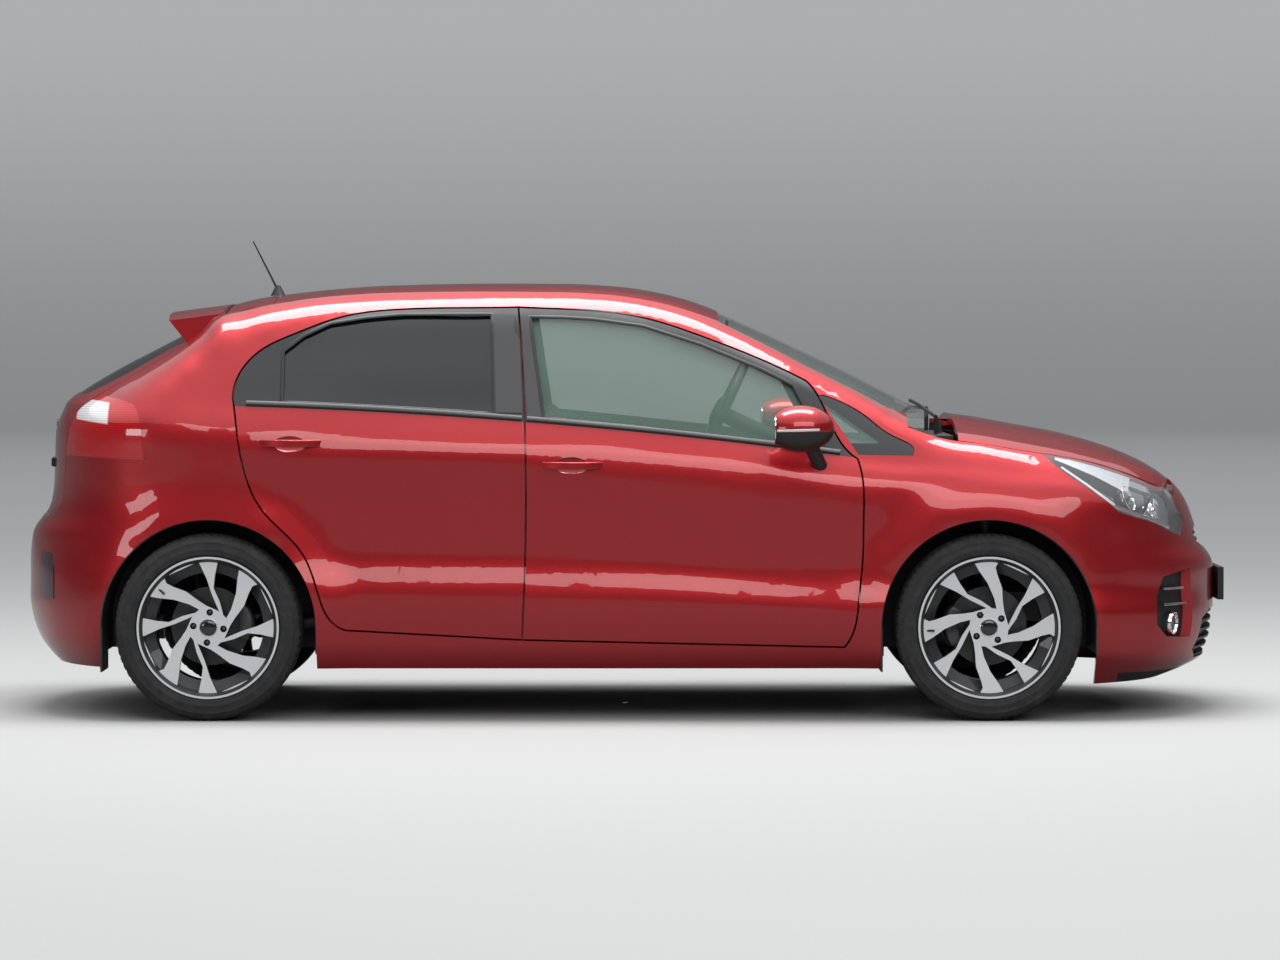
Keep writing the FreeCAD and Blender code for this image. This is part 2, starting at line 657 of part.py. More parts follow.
def front_fenders():
    """The two front wings: thin panels between door, bonnet, lamp and bumper."""
    turns = [8, 16, 24, 32, 40, 48, 56, 64]
    turn_x = NOSE - mm.corner_front * 1.02
    columns = flank_columns(along(0.78), turn_x, turns) + corner_columns(turn_x, 1, turns)
    wing = wrap(columns, mm.wing_wall)
    wing = wing.common(fender_zone(0))
    gap = mm.panel_gap
    for cut in (arch_cut(FRONT_AXLE), bonnet_zone(gap), front_bumper_zone(0),
                prism_y(outline(head_lamp_line), -FAR, -mm.roof_half / 3),
                box(-FAR, FAR, -mm.roof_half, FAR, 0, FAR),
                prism_y(outline(front_door_line, gap / 2), -FAR, 0)):
        wing = wing.cut(cut)
    return pair(largest(wing))


bumper_rows = [-0.09, 0.0, 0.07, 0.14, 0.21, 0.27, 0.33, 0.42, 0.49, 0.55, 0.61, 0.68, 0.76, 0.84,
               0.92, 1.0, 1.06]
upper_intake = [(0.0, 0.436), (0.34, 0.430), (0.44, 0.418), (0.40, 0.388), (0.30, 0.378),
                (0.0, 0.376)]
lower_intake = [(0.0, 0.243), (0.42, 0.240), (0.545, 0.222), (0.585, 0.150), (0.50, 0.128),
                (0.0, 0.122)]
fog_recess = [(1.691, 0.215), (1.735, 0.187), (1.872, 0.180), (1.900, 0.235), (1.885, 0.320),
              (1.838, 0.341), (1.72, 0.325), (1.69, 0.28)]


def intake(half, gap):
    """An opening in the bumper's front, from its right half's outline."""
    right = [Vector(0, -across(w), up(h)) for w, h in half]
    left = [Vector(0, across(w), up(h)) for w, h in reversed(half)]
    return prism_x(polygon(right[1:-1] + left[1:-1], gap), along(1.5), FAR)


def fog_openings(gap):
    wire = polygon(to_side(fog_recess), gap)
    inner = mm.roof_half
    return [prism_y(wire, -FAR, -inner), prism_y(wire, inner, FAR)]


def front_bumper():
    """The front bumper skin round the nose, with its intakes and lamp recesses."""
    shape = wrap(end_columns(along(1.0), 1, bumper_rows), mm.bumper_wall)
    shape = shape.common(front_bumper_zone(0)).cut(arch_cut(FRONT_AXLE))
    for side in (1, -1):
        lamp = prism_y(outline(head_lamp_line), side * FAR, side * mm.roof_half * 0.76)
        shape = shape.cut(lamp)
    for opening in [intake(upper_intake, 0), intake(lower_intake, 0)] + fog_openings(0):
        shape = shape.cut(opening)
    return largest(shape.cut(bonnet_zone(mm.panel_gap)))


def grilles():
    """Dark backing and slats of the intakes, the fog lamps, and a blank plate."""
    columns = end_columns(along(1.0), 1, bumper_rows)
    depth = mm.bumper_wall + mm.seat_gap
    back = wrap(columns, mm.lid_wall, depth)
    bars = wrap(columns, depth - mm.bumper_wall / 4, mm.bumper_wall / 4)
    lip = mm.arch_lip / 2
    shapes = []
    for half, low, high, count in ((upper_intake, 0.376, 0.436, 4), (lower_intake, 0.122, 0.243, 6)):
        shape = back.common(intake(half, lip))
        step = (high - low) / count
        slats = [box(along(1.5), FAR, -FAR, FAR, up(low + step * (i + 0.36)),
                     up(low + step * (i + 0.64))) for i in range(count)]
        cells = bars.common(intake(half, -mm.seat_gap))
        shapes.append(largest(shape.fuse([largest(cells.common(s)) for s in slats])))
    for zone in fog_openings(lip):
        shapes.append(largest(back.common(zone)))
    face = along(2.0) + mm.seat_gap
    shapes.append(box(face, face + mm.plate_wall, -mm.plate_half, mm.plate_half,
                      up(plate_low_share), up(plate_high_share)))
    return Part.makeCompound(shapes)


def rear_bumper():
    """The rear bumper skin round the tail."""
    rows = [0.0, 0.07, 0.14, 0.21, 0.27, 0.33, 0.38, 0.43, 0.48, 0.53, 0.58, 0.64, 0.7, 0.76,
            0.82, 0.88]
    shape = wrap(end_columns(along(0.05), -1, rows), mm.bumper_wall)
    shape = shape.common(rear_bumper_zone(0)).cut(arch_cut(REAR_AXLE))
    return largest(shape.cut(hatch_zone(mm.panel_gap)))


def bonnet():
    """The bonnet panel."""
    panel = wrap(top_columns(along(0.93), along(1.84), across(0.86)), mm.panel_wall)
    start = box(along(0.963), FAR, -FAR, FAR, 0, FAR)
    return largest(panel.common(prism_z(bonnet_outline(0), 0, FAR)).common(start))


def roof_panel():
    """The roof between the two side rails, with the screen's header at its front."""
    start = along(0.012) + mm.panel_gap * 1.7
    panel = wrap(top_columns(start, along(0.655), mm.roof_half), mm.roof_wall)
    return panel


def door_panel(line, window):
    """A door: full outline at the rim, deeper inside, with its window cut through."""
    bounds = outline(line).BoundBox
    columns = side_columns(bounds.XMin - mm.door_edge, bounds.XMax + mm.door_edge,
                           bounds.ZMin - mm.door_edge)
    gap = mm.panel_gap / 2
    rim = wrap(columns, mm.door_edge).common(prism_y(outline(line, -gap), -FAR, 0))
    deep = wrap(columns, mm.door_depth).common(prism_y(outline(line, -mm.door_inset), -FAR, 0))
    below = prism_y(polygon(to_side([(-1, -0.2), (-1, 0.80), (0.035, 0.722), (0.453, 0.680),
                                     (0.835, 0.592), (1.2, 0.53), (1.2, -0.2)])), -FAR, 0)
    shape = rim.fuse(deep.common(below)).cut(prism_y(outline(window), -FAR, 0))
    return largest(shape)


def pull_handle(panel, x, z):
    """The door with a finger cup in its skin and a bowed handle across the cup."""
    skin_at = [-side_reach(x + step * mm.handle_half, z) for step in (-1, 0, 1)]
    out, wall, sunk = mm.handle_out, mm.handle_wall, mm.door_edge / 3
    points = [Vector(mm.cup_half * math.cos(a), mm.cup_radius * math.sin(a), 0)
              for a in spread(0, math.pi, math.pi / 12)]
    bowl = Part.BSplineCurve()
    bowl.interpolate(points)
    face = Part.Face(Part.Wire([bowl.toShape(), Part.LineSegment(points[-1], points[0]).toShape()]))
    cup = face.revolve(Vector(0, 0, 0), AHEAD, 360)
    cup.translate(Vector(x, skin_at[1] - mm.cup_out, z))
    outer = [Vector(x - mm.handle_half, skin_at[0] + sunk, z),
             Vector(x, skin_at[1] - out, z), Vector(x + mm.handle_half, skin_at[2] + sunk, z)]
    inner = [Vector(p.x + (x - p.x) * wall * 1.5 / mm.handle_half, p.y + wall, z) for p in outer]
    edges = [Part.Arc(*outer).toShape(), Part.LineSegment(outer[2], inner[2]).toShape(),
             Part.Arc(inner[2], inner[1], inner[0]).toShape(),
             Part.LineSegment(inner[0], outer[0]).toShape()]
    bar = Part.Face(Part.Wire(edges)).extrude(UP * mm.handle_high)
    bar.translate(DOWN * (mm.handle_high / 2))
    bar = bar.makeFillet(wall / 3, bar.Edges)
    return largest(panel.cut(cup).fuse(bar))


def door_glass(line, window):
    """A door's pane, set inside its frame."""
    bounds = outline(line).BoundBox
    columns = side_columns(bounds.XMin, bounds.XMax, up(0.52))
    pane = wrap(columns, mm.glass, mm.glass_depth)
    return largest(pane.common(prism_y(outline(window, -mm.seat_gap), -FAR, 0)))


def tailgate_panel():
    """The tailgate without its window and spoiler."""
    shape = wrap(tail_columns(across(0.72)), mm.door_edge)
    shape = shape.common(hatch_zone(0))
    return largest(shape.cut(prism_x(hatch_window(0), TAIL - FAR, 0)))


def spoiler():
    """The roof spoiler: lies on the tailgate's skin and stands out behind it."""
    start, end = along(0.009), along(-0.257)
    outer, inner = [], []
    for x in spread(start, end, mm.column_step / 2):
        line, under = [], []
        for y in spread(-across(0.60), across(0.60), mm.column_step):
            low = top_height(x, y) + mm.seat_gap
            edge = top_height(start, y) + mm.lid_wall / 2 - (start - x) * spoiler_fall_share
            line.append(Vector(x, y, max(edge, low + mm.lid_wall / 2)))
            under.append(Vector(x, y, low))
        outer.append(line)
        inner.append(under)
    slope = polygon(to_side([(-0.262, 0.930), (-0.15, 0.865), (-0.15, 0.5), (-0.5, 0.5),
                             (-0.5, 0.930)]))
    return largest(between(outer, inner).cut(prism_y(slope, -FAR / 2, FAR / 2)))


def hatch_window(gap):
    """The rear window's outline in rear view."""
    half = [(0.52, 0.742), (0.565, 0.765), (0.575, 0.80), (0.545, 0.885), (0.50, 0.897)]
    right = [Vector(0, -across(w), up(h)) for w, h in half]
    left = [Vector(0, across(w), up(h)) for w, h in reversed(half)]
    return polygon(right + left, gap)


def tailgate_glass():
    """The rear window."""
    pane = wrap(tail_columns(across(0.66)), mm.glass, mm.glass_depth / 2)
    return largest(pane.common(prism_x(hatch_window(-mm.seat_gap), TAIL - FAR, along(-0.02))))


def windscreen_zone(gap):
    """The screen's outline in plan, seen from above."""
    edge = [(0.938, 0.0), (0.935, 0.28), (0.924, 0.52), (0.903, 0.70), (0.868, 0.775),
            (0.79, 0.738), (0.708, 0.692), (0.656, 0.665), (0.656, 0.3)]
    right = [Vector(along(a), -across(w), 0) for a, w in edge]
    left = [Vector(p.x, -p.y, 0) for p in reversed(right)]
    return prism_z(polygon(right[1:] + left[:-1], gap), 0, FAR)


def screen_rebate():
    """The step in the pillars and wings that the screen's edge lies in."""
    room = wrap(top_columns(along(0.64), along(0.985), across(0.84)),
                mm.glass * 2 + mm.seat_gap + FAR / 10, -FAR / 10)
    return room.common(windscreen_zone(0))


def fixed_glass():
    """The windscreen and the small panes ahead of the front doors."""
    screen = wrap(top_columns(along(0.64), along(0.985), across(0.84)), mm.glass, mm.glass)
    screen = largest(screen.common(windscreen_zone(-mm.seat_gap)))
    pane = wrap(side_columns(along(0.76), along(0.93), up(0.55)), mm.glass, mm.glass)
    pane = largest(pane.common(prism_y(outline(quarter_pane, -mm.seat_gap), -FAR, 0)))
    return Part.makeCompound([screen, pane, mirrored(pane)])


def head_lamps():
    """The head lamps' lenses and housings."""
    turns = [8, 16, 24, 32]
    turn_x = NOSE - mm.corner_front * 1.02
    columns = flank_columns(turn_x - mm.column_step, turn_x, turns)
    columns += corner_columns(turn_x, 1, turns)
    lamp = wrap(columns, mm.wall)
    lamp = lamp.common(prism_y(outline(head_lamp_line, -mm.seat_gap), -FAR,
                               -mm.roof_half * 0.77))
    return pair(largest(lamp.cut(bonnet_zone(mm.panel_gap))))


def tail_lamps():
    """The tail lamps."""
    turns = [8, 16, 24, 32]
    turn_x = TAIL + mm.corner_rear * 1.02
    columns = flank_columns(turn_x, turn_x + mm.column_step, turns)
    columns = list(reversed(corner_columns(turn_x, -1, turns))) + columns
    lamp = wrap(columns, mm.wall)
    lamp = lamp.common(prism_y(outline(tail_lamp_line, -mm.seat_gap), -FAR, 0))
    return pair(largest(lamp.cut(hatch_zone(mm.panel_gap))))


# Running gear
def turned(profile, axis_way=LEFT):
    """A solid of revolution: profile points are (distance from the axis, place along Y)."""
    points = [Vector(r, y, 0) for r, y in profile]
    face = Part.Face(Part.makePolygon(points + [points[0]]))
    return face.revolve(Vector(0, 0, 0), axis_way, 360)


def tyre(label, axle, side):
    """One tyre: its section turned about the wheel's axis."""
    half = {"tyre_width": 0.5}
    seat = {"rim_width": 0.5, "rim_wall": -1, "seat_gap": -1}
    outer = [({"tyre_bead": 1}, seat), ({"rim_lip": 1, "seat_gap": 1}, seat),
             ({"rim_lip": 1, "shoulder": 0.25}, {"tyre_width": 0.5, "shoulder": -0.2}),
             ({"tyre_radius": 0.5, "tyre_bead": 0.5}, half),
             ({"tyre_radius": 1, "shoulder": -1}, {"tyre_width": 0.5, "shoulder": -0.125}),
             ({"tyre_radius": 1, "shoulder": -1 / 3}, {"tyre_width": 0.5, "shoulder": -0.5}),
             ({"tyre_radius": 1, "shoulder": -0.05}, {"tyre_width": 0.5, "shoulder": -1})]
    inner = [({"tyre_bead": 1}, {"rim_width": 0.5, "rim_wall": -1, "shoulder": -0.4}),
             ({"tyre_radius": 0.5, "tyre_bead": 0.5}, {"tyre_width": 0.5, "shoulder": -0.4}),
             ({"tyre_radius": 1, "shoulder": -0.5}, {"tyre_width": 0.5, "shoulder": -1})]

    def other(row):
        return [(r, {alias: -share for alias, share in y.items()}) for r, y in reversed(row)]

    crown_point = ({"tyre_radius": 1}, {"tyre_radius": 0.0})
    section = other(outer)[::-1] + [crown_point] + other(other(outer))[::-1] + inner + other(inner)
    body = doc.addObject("PartDesign::Body", label)
    sketch = sketched(body, "XY_Plane", [(sized(**r), sized(**y)) for r, y in section])
    turn = body.newObject("PartDesign::Revolution", "turned")
    turn.Profile = sketch
    turn.ReferenceAxis = (sketch, ["V_Axis"])
    turn.Angle = 360
    half_track = (mm.track_front if axle > 0 else mm.track_rear) / 2
    body.Placement = FreeCAD.Placement(Vector(axle, side * half_track, mm.tyre_radius), Rotation())
    return keep(label, body)


def polar(radius, degrees):
    a = math.radians(degrees)
    return Vector(radius * math.cos(a), 0, radius * math.sin(a))


window_polar = [(0.99, 98), (0.72, 91.5), (0.50, 84), (0.33, 66), (0.29, 56), (0.285, 72),
                (0.33, 96), (0.43, 110.4), (0.62, 121), (0.80, 130.5), (0.90, 133), (0.99, 131)]
slot_polar = [(0.99, 81.5), (0.78, 82.5), (0.59, 82), (0.42, 66), (0.29, 40), (0.30, 27),
              (0.44, 39), (0.66, 51), (0.85, 59), (0.99, 62)]
window_polar = [p for p in window_polar if p != (0.285, 72)]


def rim(lead):
    """One wheel with its brake disc, centred on its axis, its face towards -Y."""
    half, lip, well, wall = mm.rim_width / 2, mm.rim_lip, mm.rim_well, mm.rim_wall
    seat = mm.tyre_bead - mm.seat_gap
    barrel = [(seat, -half + wall), (lip, -half + wall), (lip, -half), (lip - wall * 0.8, -half),
              (seat - wall, -half + wall * 2), (seat - wall, -half / 2), (well - wall,
                      -half / 3), (well - wall, half / 2),
              (seat - wall, half * 0.8), (seat - wall, half), (lip, half), (lip, half - wall),
              (seat, half - wall), (seat, half * 0.75), (well, half / 2 - wall),
              (well, -half / 3 + wall), (seat, -half / 2)]
    shape = turned(barrel)
    face = -half + mm.face_recess
    dish = mm.spoke_dish
    plate = turned([(0, face + dish), (mm.hub_radius, face + dish), (seat - wall / 3, face),
                    (seat - wall / 3, face + mm.spoke_depth * 0.8),
                    (mm.hub_radius, face + dish + mm.spoke_depth),
                    (mm.hub_radius, mm.disc_offset / 4), (0, mm.disc_offset / 4)])
    for quarter in range(4):
        for outline_polar in (window_polar, slot_polar):
            points = [polar(seat * share, angle + 90 * quarter) for share, angle in outline_polar]
            plate = plate.cut(prism_y(polygon(points), -mm.rim_width, mm.disc_offset / 5))
        place = polar(mm.bolt_circle / 2, 90 * quarter - 5.5)
        well_start = place + Vector(0, face, 0)
        plate = plate.cut(rod(mm.bolt_pocket, well_start, well_start + LEFT * mm.spoke_depth))
    shape = shape.fuse(plate)
    disc = turned([(0, mm.disc_offset / 4), (mm.hub_radius, mm.disc_offset / 4),
                   (mm.hub_radius, mm.disc_offset / 3), (mm.disc_radius, mm.disc_offset / 3),
                   (mm.disc_radius, mm.disc_offset / 3 + mm.disc_wall),
                   (0, mm.disc_offset / 3 + mm.disc_wall)])
    shape = shape.fuse(disc)
    bore = mm.axle_radius + mm.axle_play
    shape = shape.cut(rod(bore, Vector(0, face + dish + mm.spoke_depth, 0), Vector(0, half, 0)))
    shape.rotate(Vector(0, 0, 0), LEFT, -lead)
    return shape


def at_wheel(shape, axle, side):
    """Puts a wheel's shape on its axle; side -1 is the car's right."""
    half = (mm.track_front if axle > 0 else mm.track_rear) / 2
    if side > 0:
        shape.rotate(Vector(0, 0, 0), UP, 180)
    shape.translate(Vector(axle, side * half, mm.tyre_radius))
    return shape


def king_pin(side, radius, reach):
    """A pin on the line that a front wheel steers about, reach to either side of its low end."""
    low = Vector(FRONT_AXLE, side * mm.king_low, mm.king_low_up)
    way = Vector(FRONT_AXLE, side * mm.king_top, mm.king_top_up) - low
    way = way / way.Length
    return rod(radius, low - way * reach, low + way * reach)


def knuckle():
    """The right front hub carrier with its spindle, steering arm, damper and spring."""
    y = -mm.track_front / 2
    z = mm.tyre_radius
    inner = y + mm.disc_offset / 3 + mm.disc_wall + mm.clear_gap
    spindle = rod(mm.axle_radius, Vector(FRONT_AXLE, y - mm.disc_offset / 3, z),
                  Vector(FRONT_AXLE, inner + mm.knuckle_wall, z))
    carrier = rod(mm.hub_barrel * 1.4, Vector(FRONT_AXLE, inner, z),
                  Vector(FRONT_AXLE, inner + mm.knuckle_wall, z))
    middle = Vector(FRONT_AXLE, inner + mm.knuckle_wall / 2, z)
    low = Vector(FRONT_AXLE, -mm.king_low + mm.axle_radius, mm.king_low_up + mm.axle_radius)
    foot = Vector(FRONT_AXLE, -mm.king_low * 0.87, z + mm.hub_radius * 1.6)
    top = Vector(FRONT_AXLE, -mm.king_top, mm.king_top_up)
    shape = spindle.fuse([carrier, rod(mm.axle_radius * 1.3, middle, low),
                          king_pin(-1, mm.ball_pin, mm.axle_radius * 1.6),
                          rod(mm.strut_radius * 0.9, middle, foot),
                          rod(mm.strut_radius, foot, top),
                          rod(mm.axle_radius, middle,
                              middle + Vector(-mm.disc_radius, mm.knuckle_wall, 0))])
    way = (top - foot) / (top - foot).Length
    seat = foot + way * (mm.spring_seat - foot.z)
    shape = shape.fuse(rod(mm.spring_radius, seat, seat + way * mm.rim_wall))
    coils = 5
    pitch = (top.z - seat.z) / (coils + 1)
    for i in range(1, coils + 1):
        ring = Part.makeTorus(mm.spring_radius - mm.spring_wire, mm.spring_wire,
                              seat + way * (pitch * i), way)
        web = rod(mm.spring_radius - mm.spring_wire, seat + way * (pitch * i - mm.spring_wire / 4),
                  seat + way * (pitch * i + mm.spring_wire / 4))
        shape = shape.fuse([ring, web])
    return shape


def wheel_liners():
    """Dark liners of the four wheel arches, with the mud flaps behind the wheels."""
    pieces = []
    for axle in (FRONT_AXLE, REAR_AXLE):
        low_edge = mm.ground_clearance * 1.3
        for side in (-1, 1):
            shells = []
            for radius in (mm.arch_radius - mm.seat_gap, mm.arch_radius - mm.liner_wall):
                end = side * (mm.half_width - mm.arch_lip)
                start = side * (mm.wheelhouse_half - (mm.liner_wall if not shells else 0))
                way = Vector(0, end - start, 0)
                drum = rod(radius, Vector(axle, start, mm.tyre_radius),
                           Vector(axle, end, mm.tyre_radius))
                legs = box(axle - radius, axle + radius, min(start, end), max(start, end),
                           low_edge if not shells else 0, mm.tyre_radius)
                shells.append(drum.fuse(legs))
            shell = shells[0].cut(shells[1])
            shell = shell.cut(box(axle - FAR, axle + FAR, -FAR, FAR, -FAR, low_edge))
            opening = mm.disc_radius * 1.5
            near, far = sorted((side * mm.king_top, side * (mm.wheelhouse_half - mm.wall)))
            shell = shell.cut(box(axle - opening, axle + opening * 1.3, near, far, 0,
                                  mm.tyre_radius + opening / 2))
            if axle > 0:
                top = Vector(axle, side * mm.king_top, mm.king_top_up)
                foot = Vector(axle, side * mm.king_low * 0.87, mm.tyre_radius)
                shell = shell.cut(rod(mm.spring_radius * 1.35, foot, top))
                place = axle - mm.arch_radius + mm.seat_gap
            else:
                place = axle - mm.arch_radius + mm.seat_gap
            outer = side * (mm.half_width - mm.arch_lip)
            inner = side * (mm.half_width - mm.arch_lip - mm.tyre_width)
            flap = box(place, place + mm.liner_wall * 1.5, min(outer, inner), max(outer, inner),
                       mm.ground_clearance * 0.95, mm.tyre_radius)
            pieces.append(largest(shell.fuse(flap)))
    return Part.makeCompound(pieces)


def front_subframe():
    """Front cross member, side rails, bumper beam and the lower arms."""
    rail, wide = mm.wheelhouse_half - mm.wall / 2, across(0.07)
    ahead = NOSE - mm.wall * 1.6
    low, high = mm.king_low_up + across(0.0117), mm.king_low_up + across(0.07)
    shape = box(FRONT_AXLE - across(0.1867), FRONT_AXLE + wide, -rail, rail, low, high)
    for side in (-1, 1):
        edge, inner = sorted((side * rail, side * (rail - wide)))
        shape = shape.fuse(box(along(0.8728), ahead, edge, inner, up(0.2976), up(0.3599)))
        shape = shape.fuse(box(FRONT_AXLE - wide, FRONT_AXLE + wide, edge, inner, low, up(0.3599)))
        ball = Vector(FRONT_AXLE, side * mm.king_low, mm.king_low_up - across(0.0093))
        for x in (FRONT_AXLE - across(0.175), FRONT_AXLE + across(0.0467)):
            start = Vector(x, side * (rail - across(0.0233)), mm.king_low_up + across(0.0292))
            shape = shape.fuse(rod(across(0.0152), start, ball))
        shape = shape.fuse(rod(mm.ball_boss, ball - UP * across(0.0163), ball + UP * across(0.0058)))
        shape = shape.cut(king_pin(side, mm.ball_pin + mm.axle_play, mm.axle_radius * 1.65))
    mount_x = along(0.9844)
    mount = box(mount_x, mount_x + wide, across(-0.3851), across(0.3851), high, up(0.2076))
    return shape.fuse(mount).fuse(box(ahead, ahead + across(0.0583), across(-0.6068),
                                      across(0.6068), up(0.2907), up(0.3668)))


def rear_axle():
    """Torsion beam, trailing arms, stub axles and dampers."""
    z, y = mm.tyre_radius, mm.track_rear / 2
    inner = y - mm.disc_offset / 3 - mm.disc_wall - mm.clear_gap
    beam = Vector(REAR_AXLE + across(0.175), across(0.6068), z - across(0.0233))
    shape = rod(across(0.0373), Vector(beam.x, -beam.y, beam.z), beam)
    for side in (-1, 1):
        hub = Vector(REAR_AXLE, side * (inner - across(0.0233)), z)
        tip = Vector(REAR_AXLE, side * (y + mm.disc_offset / 3), z)
        joint = Vector(beam.x, side * beam.y, beam.z)
        pivot = Vector(along(0.1549), side * across(0.5834), z + across(0.0117))
        foot = Vector(REAR_AXLE - across(0.0233), side * (inner - across(0.0817)), z)
        top = Vector(REAR_AXLE - across(0.105), side * across(0.6534), up(0.4152))
        shape = shape.fuse([
            rod(across(0.0303), pivot, joint),
            rod(across(0.0303), joint, Vector(REAR_AXLE, side * (inner - across(0.07)), z)),
            rod(across(0.056), Vector(REAR_AXLE, side * (inner - across(0.0933)), z),
                Vector(REAR_AXLE, side * inner, z)),
            rod(mm.axle_radius, hub, tip),
            rod(across(0.0257), foot, top),
            rod(across(0.0233), pivot, Vector(pivot.x, pivot.y - side * across(0.07), pivot.z)),
        ])
    return shape


# Cabin and the rest of the body
def floor_pan(ring):
    """Cabin floor, step and boot floor, cut to meet the sills."""
    low, high, boot = mm.floor_level, mm.floor_level + mm.floor_wall, up(0.2284)
    shape = box(along(0.17), along(0.8599), across(-0.8518), across(0.8518), low, high)
    shape = shape.fuse(box(along(-0.7203), along(0.17), across(-0.5193), across(0.5193), boot,
                           boot + across(0.035)))
    shape = shape.fuse(box(along(0.1599), along(0.1751), across(-0.5193), across(0.5193), low,
                           boot + across(0.035)))
    shape = shape.fuse(box(along(-0.7203), along(-0.5594), across(-0.8051), across(0.8051), boot,
                           boot + across(0.035)))
    return largest(shape.cut(ring).cut(mirrored(ring)))


def firewall(ring):
    """The wall ahead of the cabin, the cowl, and the bonnet's two hinge brackets."""
    shape = box(along(0.8599), along(0.872), across(-0.8343), across(0.8343), mm.floor_level,
                up(0.6401))
    shape = shape.fuse(box(along(0.8599), along(0.958), across(-0.7468), across(0.7468), up(0.6263),
                           up(0.6471)))
    for side in (-1, 1):
        low, high = sorted((side * across(0.2707), side * across(0.2847)))
        shape = shape.fuse(box(along(0.9455), along(0.9521), low, high, up(0.6367), up(0.6754)))
        pin = Vector(along(0.9486), side * across(0.2544), up(0.6699))
        shape = shape.fuse(rod(across(0.0058), pin, Vector(pin.x, side * across(0.28), pin.z)))
    for side in (-1, 1):
        inner = Vector(FRONT_AXLE, side * (mm.wheelhouse_half - mm.liner_wall), mm.tyre_radius)
        house = rod(mm.arch_radius, inner, inner + LEFT * (side * mm.half_width))
        low, high = sorted((inner.y, inner.y + side * mm.half_width))
        shape = shape.cut(house).cut(box(FRONT_AXLE - mm.arch_radius, FRONT_AXLE, low, high, 0,
                                         mm.tyre_radius))
    return largest(shape.cut(ring).cut(mirrored(ring)))


def bonnet_lug(side):
    """The bonnet's hinge arm on one side, with its bore."""
    line = [(along(0.9455), up(0.6644)), (along(0.9521), up(0.6644)), (along(0.9728), up(0.6685)),
            (along(0.9728), up(0.6754)),
            (along(0.9521), up(0.6754)), (along(0.9455), up(0.6754))]
    low, high = sorted((side * across(0.2555), side * across(0.2695)))
    plate = prism_y(polygon([Vector(x, 0, z) for x, z in line]), low, high)
    pin = Vector(along(0.9486), low, up(0.6699))
    return plate.cut(rod(across(0.0061), pin, pin + LEFT * (high - low)))


def door_hinge(x, y, tilt, heights, ring):
    """One door's pins and arms on the pillar, and what the door is cut by to take them."""
    fixed, cuts = [], []
    way = Vector(0, tilt, 1)
    foot = Vector(x, y, up(0.2907))
    for height in heights:
        pin = foot + way * (height - foot.z)
        arm = [pin + Vector(across(-0.0047), across(0.0023), 0), pin + Vector(across(0.0047),
                across(-0.0023), 0),
               pin + Vector(across(0.0467), across(0.091), 0), pin + Vector(across(0.028),
                       across(0.091), 0)]
        plate = prism_z(polygon([Vector(p.x, p.y, 0) for p in arm]), height - across(0.0175),
                        height + across(0.0175))
        shaft = rod(across(0.0047), pin - way * across(0.0373), pin + way * across(0.0373))
        fixed.append(largest(plate.fuse(shaft).cut(ring)))
        cuts.append(box(x - across(0.0105), x + across(0.0817), pin.y - across(0.0064),
                        pin.y + across(0.0933),
                        height - across(0.0257), height + across(0.0257)))
        cuts.append(rod(across(0.0049), pin - way * across(0.0397), pin + way * across(0.0397)))
    return fixed, cuts


def tailgate_hinges(roof):
    """Two swan-neck arms under the roof, and what the tailgate is cut by to take them."""
    fixed, cuts = [], []
    pin_x, pin_z = along(-0.0135), up(0.9349)
    for y in (across(-0.21), across(0.21)):
        thin, deep, ahead, tall = across(0.0047), across(0.0537), across(0.063), across(0.035)
        line = [(-thin, thin), (thin, thin), (thin, -deep), (ahead, -deep), (ahead, tall),
                (ahead + 4 * thin, tall), (ahead + 4 * thin, -deep - 2 * thin),
                (-thin, -deep - 2 * thin)]
        neck = prism_y(polygon([Vector(pin_x + a, 0, pin_z + c) for a, c in line]),
                       y - across(0.0058), y + across(0.0058))
        pin = Vector(pin_x, y - across(0.021), pin_z)
        neck = neck.fuse(rod(across(0.0035), pin, pin + LEFT * across(0.042))).cut(roof)
        fixed.append(min(neck.Solids, key=lambda s: s.BoundBox.ZMin))
        room = box(pin_x - across(0.014), pin_x + across(0.105), y - across(0.0105),
                   y + across(0.0105), 0, pin_z + across(0.0076))
        cuts.append(room.fuse(rod(across(0.0037), pin - LEFT * across(0.0023),
                                  pin + LEFT * across(0.0443))))
    return fixed, cuts


def engine_block():
    """One plain block at the engine's place."""
    return keep("engine_block", primitive(
        "Box", "engine", Vector(along(0.9805), across(-0.3501),
                                up(0.2076)), Length=sized(engine_long=1),
        Width=sized(engine_wide=1), Height=sized(engine_high=1)))


def cushioned(x_low, x_high, half, z_low, z_high, radius, y=0.0):
    """A block with rounded edges, half to either side of y."""
    shape = box(x_low, x_high, y - half, y + half, z_low, z_high)
    return shape.makeFillet(radius, shape.Edges)


def seat(y):
    """A front seat: cushion, leaning back with its head rest, and base."""
    cushion = cushioned(along(0.4747), along(0.6809), across(0.2917), up(0.2284), up(0.3391),
                        across(0.0525), y)
    back = cushioned(across(-0.07), across(0.07), across(0.28), 0, up(0.4429), across(0.0583), y)
    back = back.fuse(cushioned(across(-0.0467), across(0.0467), across(0.1517), up(0.4221),
                               up(0.5398), across(0.0408), y))
    back.rotate(Vector(0, 0, 0), LEFT, -20)
    back.translate(Vector(along(0.4903), 0, up(0.2907)))
    base = box(along(0.4942), along(0.6615), y - across(0.2334), y + across(0.2334),
               mm.floor_level + mm.floor_wall, up(0.2388))
    return cushion.fuse([back, base])


